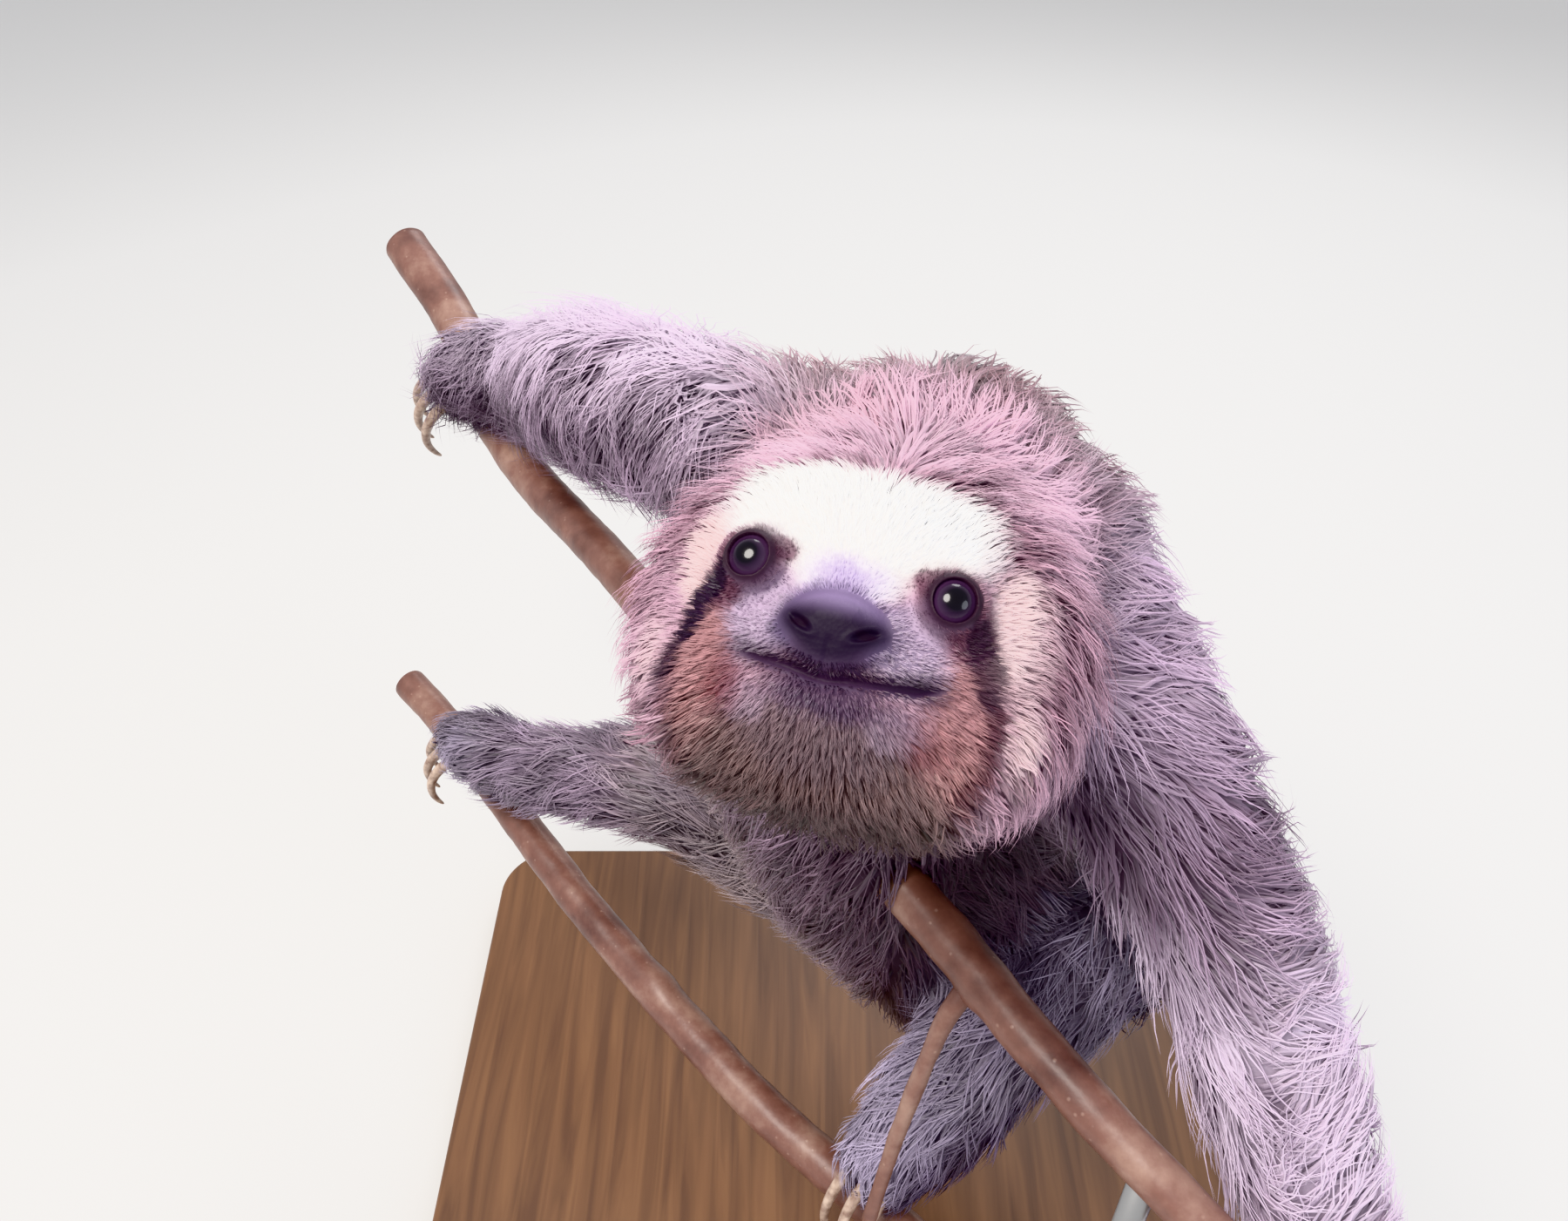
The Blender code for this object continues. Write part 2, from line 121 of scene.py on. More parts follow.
# lines along the body parts, in the way the hair lies: part, start, end, coat radius, in mm
bodyLines = [
    ("trunk", (26, 22, 384), (23, 28, 290), 62),
    ("trunk", (23, 28, 290), (60, 38, 150), 56),
    ("neck", (10, -62, 410), (28, 10, 386), 42),
    ("head", (5.2, -79.7, 411.6), (9, -70, 410), 44),
    ("upperArmR", (-12, 8, 399), (-68, 104, 362), 29),
    ("forearmR", (-68, 104, 362), (-109, 212, 306), 31),
    ("handR", (-109, 212, 306), (-149, 229, 299), 25),
    ("upperArmL", (56, -2, 376), (107, -72, 301), 30),
    ("forearmL", (107, -72, 301), (143, -146, 209), 24),
    ("handL", (143, -146, 209), (145, -171, 174), 19),
    ("thighR", (34, 40, 162), (-50, 75, 200), 31),
    ("shinR", (-50, 75, 200), (-122, 104, 179), 24),
    ("footR", (-122, 104, 179), (-152, 126, 173), 20),
    ("thighL", (84, 24, 152), (124, -4, 222), 31),
    ("shinL", (124, -4, 222), (60, -37, 188), 25),
    ("footL", (60, -37, 188), (26, -55, 151), 23),
    ("tail", (63, 66, 132), (67, 100, 103), 13),
]
partNames = list(dict.fromkeys(line[0] for line in bodyLines))
# where a part's hair lies across it or back along it, not down its line
partLie = {
    "upperArmR": (-0.45, -0.55, -0.65), "forearmR": (-0.25, -0.7, -0.75), "handR": (-0.85, -0.25, -0.15),
    "upperArmL": (0.85, 0.3, -0.42), "forearmL": (0.42, 0.42, 0.45), "handL": (0.2, -0.7, -0.6),
    "shinL": (-0.75, -0.35, -0.75), "footL": (-0.5, -0.4, -0.8), "footR": (-0.8, -0.1, -0.5),
}
partBlend = {"owner": 4.0, "lie": 9.0}  # mm over which parts, and their hair's lie, run into each other
leastRadius = 14.0  # mm; nearer to a part's line, hair bends as it would at this distance
upFront, toLeft = np.array((0, 0.64, 0.77)), np.array((1.0, 0, 0))


def offLine(points, a, b):  # from the nearest place on the line to each point, and the line itself
    a, b = placed(a), placed(b)
    line = b - a
    t = np.clip(((points - a) @ line) / (line @ line), 0, 1)
    return points - a - t[:, None] * line, line


def partWeights(points):  # how much each part owns each point, the hair's way there and the part's line
    weights = np.zeros((len(points), len(partNames)))
    way, axis = np.zeros((2, len(points), 3))
    gaps = np.array([np.linalg.norm(offLine(points, a, b)[0], axis=1) / mm - radius
                     for _, a, b, radius in bodyLines])
    share = np.exp(-(gaps - gaps.min(0)) / partBlend["owner"])
    share /= share.sum(0)
    lieShare = np.exp(-(gaps - gaps.min(0)) / partBlend["lie"])
    lieShare /= lieShare.sum(0)
    for i, (part, a, b, _) in enumerate(bodyLines):
        weights[:, partNames.index(part)] += share[i]
        line = placed(b) - placed(a)
        way += lieShare[i][:, None] * unit(np.array(partLie.get(part, line)))
        axis += lieShare[i][:, None] * unit(line)
    return weights, way, axis


def shareOf(weights, *parts):
    return sum(weights[:, partNames.index(name)] for name in parts)


def besideLine(points, part, toward):  # how far to that side of a part's line, over its radius
    a, b, radius = next(line[1:] for line in bodyLines if line[0] == part)
    return offLine(points, a, b)[0] / (radius * mm) @ toward


def curving(points, weights, way):  # how sharply the body turns away under hair lying that way
    turn, total = np.zeros((2, len(points)))
    for part, a, b, _ in bodyLines:
        off, line = offLine(points, a, b)
        gap = np.maximum(np.linalg.norm(off, axis=1), leastRadius * mm)
        across = 1 - (way @ unit(line)) ** 2 if part != "head" else 1.0
        share = shareOf(weights, part) / gap ** 2
        turn += share * across / gap
        total += share
    return turn / np.maximum(total, 1e-9)


# the skin: the flesh solids made one, then drawn in by the coat's depth, in mm
skinPlan = {
    "overlap": 0.7,  # closes the thin cuts between the solids
    "voxel": 2.3,
    "ease": 9,
    "coatDepth": 6.8,
    "headDepth": 5.5,
    "faceDepth": 1.8,
    "handDepth": 4.5,
    "steps": 4,
    "lastEase": 3,
}
fleshNodes = ["head", "neck", "trunk", "tail", "nose"] + [
    part + side for side in ("_left", "_right")
    for part in ("upper_arm", "forearm", "hand", "thigh", "shin", "foot")
]


def newObject(name, mesh):
    made = bpy.data.objects.new(name, mesh)
    bpy.context.scene.collection.objects.link(made)
    return made


def meshFrom(bm, name):
    mesh = bpy.data.meshes.new(name)
    bm.to_mesh(mesh)
    bm.free()
    return mesh


def welded(name):  # a solid's faces, with the points they share made one
    bm = bmesh.new()
    bm.from_mesh(nodes[name].data)
    bmesh.ops.remove_doubles(bm, verts=bm.verts[:], dist=0.01 * mm)
    return bm


def applied(made):  # the modifiers become the mesh
    bpy.context.view_layer.update()
    seen = made.evaluated_get(bpy.context.evaluated_depsgraph_get())
    mesh = bpy.data.meshes.new_from_object(seen)
    made.modifiers.clear()
    old, made.data = made.data, mesh
    bpy.data.meshes.remove(old)
    return made


def pointsOf(mesh):
    found = np.empty(len(mesh.vertices) * 3)
    mesh.vertices.foreach_get("co", found)
    return found.reshape(-1, 3)


def normalsOf(mesh):
    found = np.empty(len(mesh.vertices) * 3, np.float32)
    mesh.vertex_normals.foreach_get("vector", found)
    return found.reshape(-1, 3).astype(float)


def setPoints(mesh, points):
    mesh.vertices.foreach_set("co", points.astype(np.float32).ravel())
    mesh.update()


def remeshed(made, voxel, ease):
    m = made.modifiers.new("one", "REMESH")
    m.mode, m.voxel_size = "VOXEL", voxel * mm
    m = made.modifiers.new("ease", "SMOOTH")
    m.factor, m.iterations = 0.5, ease
    return applied(made)


joined = bmesh.new()
for name in fleshNodes:
    part = welded(name)
    bmesh.ops.recalc_face_normals(part, faces=part.faces[:])
    part.normal_update()
    for vert in part.verts:
        vert.co += vert.normal * (skinPlan["overlap"] * mm)
    grown = meshFrom(part, "grown")
    joined.from_mesh(grown)
    bpy.data.meshes.remove(grown)
skin = remeshed(newObject("skin", meshFrom(joined, "skin")), skinPlan["voxel"], skinPlan["ease"])
print("skin: one surface of", len(skin.data.vertices), "points", flush=True)


def ovalRing(local, oval, grow=1.0):  # 0 in the middle of an oval seen from the face's front, 1 on its edge
    x, y, wide, high = oval
    return np.hypot((local[:, 0] - x) / (wide * grow), (local[:, 1] - y) / (high * grow))


def faceness(local):  # 1 in the middle of the face, 0 on the crown, cheeks and behind
    return eased(local[:, 2], 6, 22) * (1 - eased(ovalRing(local, headPlan["face"]), 0.7, 1.12))


def headness(local):  # 1 in the head, 0 beyond it
    return 1 - eased(np.linalg.norm(local / headPlan["half"], axis=1), 1.0, 1.18)


def depthAt(points):  # how far the coat's tips stand off the skin, in mm
    weights = partWeights(points)[0]
    local = toHead(points)
    small = shareOf(weights, "handR", "handL", "footR", "footL", "tail")
    depth = skinPlan["coatDepth"] + (skinPlan["handDepth"] - skinPlan["coatDepth"]) * small
    inHead = skinPlan["headDepth"] + (skinPlan["faceDepth"] - skinPlan["headDepth"]) * faceness(local)
    return depth + (inHead - depth) * headness(local)


inset = depthAt(pointsOf(skin.data)) + skinPlan["overlap"]
for step in range(skinPlan["steps"]):
    points = pointsOf(skin.data) - normalsOf(skin.data) * (inset / skinPlan["steps"] * mm)[:, None]
    setPoints(skin.data, points)
remeshed(skin, skinPlan["voxel"], skinPlan["lastEase"])

# finer faces on the head's front, finest round the eyes, nose and mouth
finePlan = {
    "front": (0, -5, 36, 33),
    "rounds": (1.0, 0.86, 0.0),  # the share of the front made finer; 0 stands for the eyes and muzzle alone
    "eye": (18.0, 3.4, 39),
    "eyeReach": 11,
    "muzzle": (0, -10, 20, 12),
    "eased": (0, -5, 34, 31),
    "easings": 3,
}
for reach in finePlan["rounds"]:
    bm = bmesh.new()
    bm.from_mesh(skin.data)
    local = toHead(np.array([v.co for v in bm.verts]))
    if reach:
        wanted = (ovalRing(local, finePlan["front"], reach) < 1) & (local[:, 2] > 8)
    else:
        x, y, z = finePlan["eye"]
        eyes = np.min([np.linalg.norm(local - (x * s, y, z), axis=1) for s in (-1, 1)], axis=0)
        wanted = (eyes < finePlan["eyeReach"]) | (ovalRing(local, finePlan["muzzle"]) < 1)
        wanted &= local[:, 2] > 20
    edges = [e for e in bm.edges if wanted[e.verts[0].index] and wanted[e.verts[1].index]]
    bmesh.ops.subdivide_edges(bm, edges=edges, cuts=1, use_grid_fill=True)
    fresh = toHead(np.array([v.co for v in bm.verts]))
    ring = ovalRing(fresh, finePlan["eased"])
    near = [v for v, p, r in zip(bm.verts, fresh, ring) if p[2] > 8 and r < 1]
    for _ in range(finePlan["easings"]):
        bmesh.ops.smooth_vert(bm, verts=near, factor=0.5, use_axis_x=True, use_axis_y=True, use_axis_z=True)
    bm.to_mesh(skin.data)
    bm.free()
print("skin: face refined to", len(skin.data.vertices), "points", flush=True)

# the face, shaped in the head's own axes: lids, nose and mouth, in mm and degrees
facePlan = {
    "eyeRadius": 5.8,
    "eyeAim": (0.22, 0.03, 1.0),
    "lidHalfWidth": 3.9,
    "lidHalfHeight": 3.95,
    "lidTilt": 12.0,  # the outer corner hangs lower
    "lidRise": 0.7,
    "lidEdge": (1.1, 0.16, 0.22),  # ridges: place and width, then height in mm
    "lidFold": (1.75, 0.2, 0.22),
    "socketFloor": -3.0,
    "padHalf": (10.3, 6.6),
    "padUp": -6.0,
    "padRise": 0.3,
    "nostril": (5.7, -7.0, 2.3, 0.8),
    "nostrilDepth": 1.3,
    "nostrilRim": (1.5, 0.35, 0.2),
    "mouthUp": -14.6,
    "mouthSmile": 3.4,
    "mouthDip": (0.0, 4.0, 0.6),
    "mouthLeftUp": 1.2,
    "mouthEnds": (-19.0, 22.5),
    "lips": [(0.0, 0.9, -0.85), (2.0, 1.2, 0.35), (-2.1, 1.4, 0.45)],  # groove, upper lip, lower lip
    "crease": (0.0, 0.55, -0.25),  # from the nose down to the mouth
}


def eyeFrame(side):
    centre = np.array((headPlan["eye"][0] * side, headPlan["eye"][1], headPlan["eye"][2]))
    x, y, z = facePlan["eyeAim"]
    out = unit(np.array((x * side, y, z)))
    right = unit(np.cross((0, 1, 0), out))
    return centre, right, np.cross(out, right), out


def eyeRing(local, side):  # 1 on the lid's edge, measured from the eye's middle, and the depths
    centre, right, up, out = eyeFrame(side)
    off = local - centre
    a, b, c = off @ right, off @ up, off @ out
    turn = math.radians(facePlan["lidTilt"]) * side
    across, rise = a * math.cos(turn) - b * math.sin(turn), a * math.sin(turn) + b * math.cos(turn)
    ring = np.hypot(across / facePlan["lidHalfWidth"], rise / facePlan["lidHalfHeight"])
    return ring, np.hypot(a, b), c, rise


def mouthLine(local):  # height above the mouth's line, and how far the mouth reaches
    x = local[:, 0]
    low, high = facePlan["mouthEnds"]
    line = facePlan["mouthUp"] + facePlan["mouthSmile"] * (x / 20) ** 2 - ridge(x, *facePlan["mouthDip"])
    line = line + facePlan["mouthLeftUp"] * eased(x, 15, high)
    return local[:, 1] - line, eased(x, low, low + 8) * (1 - eased(x, high - 7, high))


def padRing(local):  # 1 on the edge of the nose's bare pad
    wide, high = facePlan["padHalf"]
    y = local[:, 1] - facePlan["padUp"]
    narrow = wide * (1 - 0.16 * eased(-y, 0, high))  # a little narrower below
    return np.hypot(local[:, 0] / narrow, y / high)


local = toHead(pointsOf(skin.data))
for side in (-1, 1):
    out = eyeFrame(side)[3]
    ring, radial, height, rise = eyeRing(local, side)
    near = (ring < 3.2) & (height > -8) & (local[:, 0] * side > 2)
    ball = facePlan["eyeRadius"] + facePlan["lidRise"]
    lid = np.sqrt(np.maximum(ball ** 2 - radial ** 2, 4.0)) + ridge(ring, *facePlan["lidEdge"])
    lid += ridge(ring, *facePlan["lidFold"]) * (rise > 0)
    goal = lid + (height - lid) * eased(ring, 1.35, 2.5)
    deep = facePlan["socketFloor"]
    goal = np.where(ring < 1.0, deep + (goal - deep) * eased(ring, 0.84, 1.0), goal)
    move = np.where(near, (goal - height) * (1 - eased(ring, 2.5, 3.2)), 0.0)
    local = local + move[:, None] * out
inFront = eased(local[:, 2], 30, 36)
local[:, 2] += inFront * facePlan["padRise"] * (1 - eased(padRing(local), 0.6, 1.2))
for side in (-1, 1):
    x, y, wide, high = facePlan["nostril"]
    dx, dy = local[:, 0] * side - x, local[:, 1] - y
    hole = np.hypot((dx * 0.88 + dy * 0.47) / wide, (dy * 0.88 - dx * 0.47) / high)
    local[:, 2] -= inFront * facePlan["nostrilDepth"] * (1 - eased(hole, 0.55, 1.25))
    local[:, 2] += inFront * ridge(hole, *facePlan["nostrilRim"])
height, reach = mouthLine(local)
lips = reach * eased(local[:, 2], 18, 26)
for lip in facePlan["lips"]:
    local[:, 2] += lips * ridge(height, *lip)
crease = eased(local[:, 1], -14.5, -13) * (1 - eased(local[:, 1], -9.5, -8))
local[:, 2] += inFront * crease * ridge(local[:, 0], *facePlan["crease"])
setPoints(skin.data, fromHead(local))
print("face: lids, nose and mouth", flush=True)

# markings, shared by the skin and the coat
tones = {
    "armPale": "#e1cfe4", "armMid": "#a58ba7", "armDark": "#483146",
    "upperArm": "#ba9dbc", "shoulder": "#d3b7cf", "upperDark": "#654761",
    # belly is near black, painted shade under the chin and arms; chest is the chest's own colour darkened by
    # painted shade
    "chest": "#412938", "belly": "#1b0e19", "flank": "#b799b2",
    "back": "#876f7b", "backPale": "#a29190", "nape": "#9b6a72",
    "thigh": "#766379", "footPale": "#a398af", "footDark": "#564965",
    "crown": "#dfbcd0", "headSide": "#947080", "white": "#fffdfc", "cream": "#f3dadb",
    "patch": "#684656", "stripe": "#2c1a30", "furrow": "#5f3b42",
    "muzzle": "#a996ac", "noseSheen": "#c5b2d8", "noseTop": "#87739a", "noseShade": "#47395a",
    "pad": "#251b2d", "lip": "#4e3e56", "mouth": "#332235", "lid": "#30202c", "lidPale": "#79627a",
    # throat is near black, painted shade under the chin
    "chin": "#745e5e", "jaw": "#6f5d64", "tan": "#a47879", "rust": "#6a3139", "throat": "#24131e",
}
tones = {name: toLinear(code) for name, code in tones.items()}
for name in ("armMid", "armDark", "upperArm", "shoulder", "upperDark", "chest", "flank", "back", "thigh"):
    grey = 0.42 if name in ("back", "thigh") else 0.18  # greyer all over the body, most of all behind
    tones[name] = mixed(tones[name], tones[name].mean(), grey)


def bandAlong(x, y, stops):  # 1 along a bent line of (x, y, half width), easing off at its sides
    best = np.full(len(x), 9.0)
    for (ax, ay, aw), (bx, by, bw) in zip(stops, stops[1:]):
        dx, dy = bx - ax, by - ay
        t = np.clip(((x - ax) * dx + (y - ay) * dy) / (dx * dx + dy * dy), 0, 1)
        gap = np.hypot(x - ax - t * dx, y - ay - t * dy) / (aw + (bw - aw) * t)
        best = np.minimum(best, gap)
    return 1 - eased(best, 0.6, 1.25)


# 1 in an oval about (cx, cy), easing off between low and high of its edge; more power squares it off
def blob(x, y, cx, cy, rx, ry, low=0.6, high=1.2, power=2.0):
    ring = (np.abs((x - cx) / rx) ** power + np.abs((y - cy) / ry) ** power) ** (1 / power)
    return 1 - eased(ring, low, high)


def two(a, b, t):  # from one tone to another
    return mixed(tones[a], tones[b], np.clip(t, 0, 1))


def bodyMarkings(points, mottle, fine):
    weights = partWeights(points)[0]
    px, py, pz = ((points - fromPlan) / mm).T  # in the solids' plan
    front = eased(8 - py, -10, 30)
    # the right arm pale on top and dark beneath: partly the hair's own darker colour, partly painted shade
    # on the underside
    pale = two("armMid", "armPale", mottle + 0.35)
    top = besideLine(points, "forearmR", upFront)
    forearmR = mixed(two("armDark", "armMid", mottle), pale, eased(top, -0.35, 0.75))
    top = besideLine(points, "upperArmR", upFront)
    upperR = two("upperArm", "armPale", mottle + 0.2)
    upperR = mixed(two("armDark", "armMid", mottle), upperR, eased(top, -0.35, 0.7))
    toFingers = eased(np.linalg.norm(points - placed((-104, 205, 308)), axis=1) / mm, 20, 55)
    handR = mixed(forearmR, two("armDark", "armMid", mottle), toFingers * 0.3)
    forearmL = two("armMid", "armPale", mottle + 0.2)
    forearmL = mixed(forearmL, tones["armDark"], np.clip(-0.8 * fine - 0.2, 0, 1))
    lower = eased(380 - pz, 0, 60)
    upperL = mixed(two("shoulder", "upperArm", mottle), two("upperDark", "upperArm", mottle), lower * 0.55)
    # painted shade: the left upper arm darker on its inner side, where it lies toward the body
    inner = eased(-besideLine(points, "upperArmL", toLeft), 0.2, 1.0)
    upperL = mixed(upperL, tones["upperDark"], inner * 0.75)
    wet = eased(362 - pz, 0, 30)
    upperL = mixed(upperL, two("upperDark", "upperArm", mottle * 0.45), wet * 0.7)
    upperL = mixed(upperL, forearmL, eased(322 - pz, 0, 25))
    # painted shade: the trunk's front darker below, running into the belly tone under the chin and arms
    under = eased(300 - pz, 0, 50)
    trunkFront = mixed(two("chest", "flank", mottle * 0.7), two("belly", "chest", mottle), under * 0.8)
    # painted shade: the trunk's front keeps its dark tones on the sloth's left (x beyond 45 mm), the side in
    # shade, and pales into flank on its right
    trunkFront = mixed(two("flank", "chest", 0.5 + mottle * 0.5), trunkFront, eased(px, 0, 45))
    trunk = mixed(two("back", "backPale", mottle), trunkFront, front)
    nape = two("nape", "back", 0.45 + mottle * 0.6)
    trunk = mixed(trunk, nape, eased(pz, 362, 398) * (1 - 0.6 * front))
    neckTop = mixed(two("crown", "headSide", mottle * 0.5), two("nape", "crown", mottle), eased(py, -48, 4))
    # painted shade: the neck darker below, under the chin
    neck = mixed(two("throat", "chest", mottle), neckTop, eased(pz, 384, 412))
    left = besideLine(points, "footL", toLeft)
    footL = mixed(tones["footPale"], two("footDark", "armDark", mottle), eased(left, -0.35, 0.45))
    left = besideLine(points, "shinL", toLeft)
    shinL = mixed(two("thigh", "footPale", mottle), two("footDark", "thigh", mottle), eased(left, -0.3, 0.7))
    left = besideLine(points, "thighL", toLeft)
    # painted shade: the left thigh's inner side, toward the belly, in the dark chest and belly tones
    outside = np.maximum(eased(left, -0.2, 0.5), eased(py, 0, 30))
    thighL = mixed(two("chest", "belly", mottle), two("thigh", "backPale", mottle), outside)
    colours = {
        "trunk": trunk, "neck": neck, "head": two("headSide", "crown", mottle),
        "tail": two("back", "backPale", mottle),
        "upperArmR": upperR, "forearmR": forearmR, "handR": handR,
        "upperArmL": upperL, "forearmL": forearmL, "handL": two("armMid", "armPale", mottle),
        "thighR": two("thigh", "backPale", mottle), "shinR": two("thigh", "armMid", mottle),
        "footR": two("thigh", "footPale", mottle), "thighL": thighL, "shinL": shinL, "footL": footL,
    }
    return sum(shareOf(weights, name)[:, None] * c for name, c in colours.items())


def headMarkings(points, mottle, fine):
    local = toHead(points)
    x, y, z = local.T
    side = np.abs(x)
    x, side = x + 1.2 * fine, side + 1.2 * fine  # edges as ragged as hair
    y = y + noiseAt(points, 4, 2.0)
    overTop = eased(y, 12, 34) * (1 - 0.6 * eased(side, 20, 36))
    head = two("headSide", "crown", 0.5 * overTop + 0.7 * mottle - 0.12)
    head = mixed(head, tones["nape"], (1 - eased(z, -48, -18)) * 0.3)
    # painted shade: the beard darkens toward its underside into the throat tone, under the chin
    beard = np.clip(0.85 * eased(-y, 29, 43) + 0.2 * fine, 0, 1)
    beard = mixed(tones["chin"], tones["throat"], beard)
    head = mixed(head, beard, eased(-y, 14, 27) * (1 - eased(side, 24, 34)))
    front = eased(z, 0, 14)
    height, reach = mouthLine(local)
    left = 1.0 * (x > 0)  # the two sides differ a little
    brow = [(-27, 24, 2.6), (-6, 31.5, 3.4), (15, 31, 3.4), (29, 21, 2.6)]
    eyePatch = [(12.5, 6.5, 3.0), (17.8, 4.6, 6.4), (22.5, -1.0, 5.0)]
    stripeTop = [(23.2, 0.5, 2.0), (26.0, -5, 3.2), (28.2, -10, 2.2)]
    cheekFold = [(29.5, -12, 1.4), (30, -21, 1.8), (26, -31, 2.4)]
    marks = [  # laid one over the other: the tone, and how much of it
        ("cream", blob(side, y, 29, 4.5, 4.6, 11) * 0.9),
        # partly cream hair, partly painted light: the face's left side paler where the light falls
        ("cream", blob(x, y, 31, 2, 7, 14, 0.1, 1.3) * 0.7),
        ("cream", blob(side, y, 35.5, -15, 4.2, 9, 0.1, 1.3) * (0.4 + 0.25 * left)),
        ("tan", blob(side, y, 24, -15, 7.5, 16, 0.4, 1.2) * 0.85),
        ("headSide", bandAlong(x, y, brow) * (0.7 + 0.3 * fine)),
        ("white", blob(x, y, -2, 17.5, 27.5, 12, 0.78, 1.06, 3.6)),
        ("white", blob(x, y, -1, 5.5, 12, 9, 0.6, 1.1)),
        ("muzzle", blob(side, y, 12.5, -6, 8.5, 9.5, 0.6, 1.15)),
        # dark at the mouth's left corner: the lips' own dark with painted shade in the crease
        ("mouth", blob(x, y, -17, -12.5, 4.5, 2.8, 0.1, 1.3) * 0.5),
        ("noseSheen", blob(x, y, -0.5, 3.4, 8.5, 4.6, 0.1, 1.3) * 0.85),
        ("noseTop", blob(x, y, 0, -1.2, 9.6, 4.6, 0.5, 1.15) * 0.9),
        ("noseShade", blob(x, y, 0, -6.8, 12.0, 7.8, 0.72, 1.1) * 0.85),
        ("jaw", blob(x, y, 0, -25, 15, 7) * 0.7),
        ("muzzle", blob(side, y, 13, -20.5, 5, 3.6) * 0.35),
        ("rust", blob(x, y, -18.5, -19, 5, 6, 0.2, 1.2) * (0.8 + 0.4 * fine)),
        ("rust", blob(x, y, 19, -21.5, 6, 4.5, 0.2, 1.2) * (0.5 + 0.3 * fine)),
        ("patch", bandAlong(side, y, eyePatch) * 0.9),
        # painted shade down the fold of the cheek
        ("furrow", bandAlong(side, y, cheekFold) * (0.5 + 0.3 * left)),
        ("stripe", bandAlong(side, y, stripeTop) * (1 - 0.25 * left)),
        ("stripe", bandAlong(side, y, [(28.2, -10, 2.0), (32.0, -20, 1.3)]) * (0.85 - 0.5 * left)),
        ("lip", blob(x, y, 1, -17.8, 14, 4.4, 0.4, 1.2) * 0.8),
        ("pad", blob(x, y, 1, -12.4, 8.5, 3.4, 0.4, 1.25) * 0.85),
        # dark along the mouth's line and at its right corner: the lips' own dark with painted shade in the
        # crease
        ("mouth", ridge(height, 0, 1.9) * reach * 0.8),
        ("mouth", blob(x, y, 17, -12.2, 5.5, 3.4, 0.2, 1.3) * 0.6),
    ]
    for tone, amount in marks:
        head = mixed(head, tones[tone], np.clip(amount * front, 0, 1))
    return head


def markings(points):  # the colour of the coat or the skin at each point
    fine = noiseAt(points, 7, 5.0)
    mottle = 0.5 + 0.55 * noiseAt(points, 24) + 0.35 * fine
    body, head = bodyMarkings(points, mottle, fine), headMarkings(points, mottle, fine)
    return mixed(body, head, headness(toHead(points)))


local = toHead(pointsOf(skin.data))
onFace = headness(local) * faceness(local)
skinColour = markings(pointsOf(skin.data)) * (0.52 + 0.42 * onFace)[:, None]  # roots lie in shade
bare = (1 - eased(padRing(local), 0.7, 1.15)) * eased(local[:, 2], 30, 36)
skinColour = mixed(skinColour, tones["pad"] * 0.85, bare)
sheen = eased(local[:, 1], -6.0, -0.5) * bare
skinColour = mixed(skinColour, tones["noseTop"], sheen * 0.75)
wet = bare * 0.28
for side in (-1, 1):
    x, y, wide, high = facePlan["nostril"]
    # painted shade: the nostrils' hollows darkened nearly black, and not wet
    nostrilShadow = bare * blob(local[:, 0] * side, local[:, 1], x, y, wide * 0.95, high * 1.2, 0.5, 1.1)
    skinColour, wet = mixed(skinColour, tones["stripe"] * 0.5, nostrilShadow), wet * (1 - nostrilShadow)
height, reach = mouthLine(local)
lipMask = reach * eased(local[:, 2], 18, 26)
skinColour = mixed(skinColour, tones["lip"] * 0.8, lipMask * ridge(height, 0, 2.2))
# darkest along the mouth's groove: the lips' own dark with painted shade in the groove
skinColour = mixed(skinColour, tones["mouth"], lipMask * ridge(height, 0, 1.0))
wet = np.maximum(wet, lipMask * ridge(height, 0, 1.6, 0.35))
for side in (-1, 1):
    ring, _, depth, rise = eyeRing(local, side)
    outside = eased(depth, -6, -4)
    onLid = (1 - eased(ring, 1.15, 1.6)) * outside
    skinColour = mixed(skinColour, tones["lid"], onLid)
    rim = ridge(ring, 1.3, 0.14, 0.3) * eased(-rise, 1.0, 3.2) * outside
    skinColour = mixed(skinColour, tones["lidPale"], rim)
    wet = np.maximum(wet, onLid * 0.5)


def paintPoints(mesh, name, values):  # a colour, or one number, for each point
    layer = mesh.color_attributes.new(name, "FLOAT_COLOR", "POINT")
    full = np.ones((len(mesh.vertices), 4), np.float32)
    full[:, :3] = np.reshape(values, (len(full), -1))
    layer.data.foreach_set("color", full.ravel())


def solid(code):
    return (*toLinear(code), 1.0)


def setInputs(tree, node, inputs):  # a node given as an input stands for its first output
    for socket, value in inputs.items():
        if isinstance(value, bpy.types.Node):
            value = value.outputs[0]
        if isinstance(value, bpy.types.NodeSocket):
            tree.links.new(value, node.inputs[socket])
        else:
            node.inputs[socket].default_value = value


def addNode(tree, kind, inputs=None, stops=(), **settings):  # stops are places from 0 to 1 with colours
    made = tree.nodes.new("ShaderNode" + kind)
    for name, value in settings.items():
        setattr(made, name, value)
    setInputs(tree, made, inputs or {})
    if stops:
        ends = made.color_ramp.elements
        for stop, (at, code) in zip((ends[0], ends[1]), (stops[0], stops[-1])):
            stop.position, stop.color = at, solid(code)
        for at, code in stops[1:-1]:
            ends.new(at).color = solid(code)
    return made


def newMaterial(name, **values):  # a Principled material, its tree and its shader
    made = bpy.data.materials.new(name)
    made.use_nodes = True
    shader = made.node_tree.nodes["Principled BSDF"]
    setInputs(made.node_tree, shader, {socket.replace("_", " "): value for socket, value in values.items()})
    return made, made.node_tree, shader


def shade(mesh, smooth):
    mesh.polygons.foreach_set("use_smooth", np.full(len(mesh.polygons), smooth))


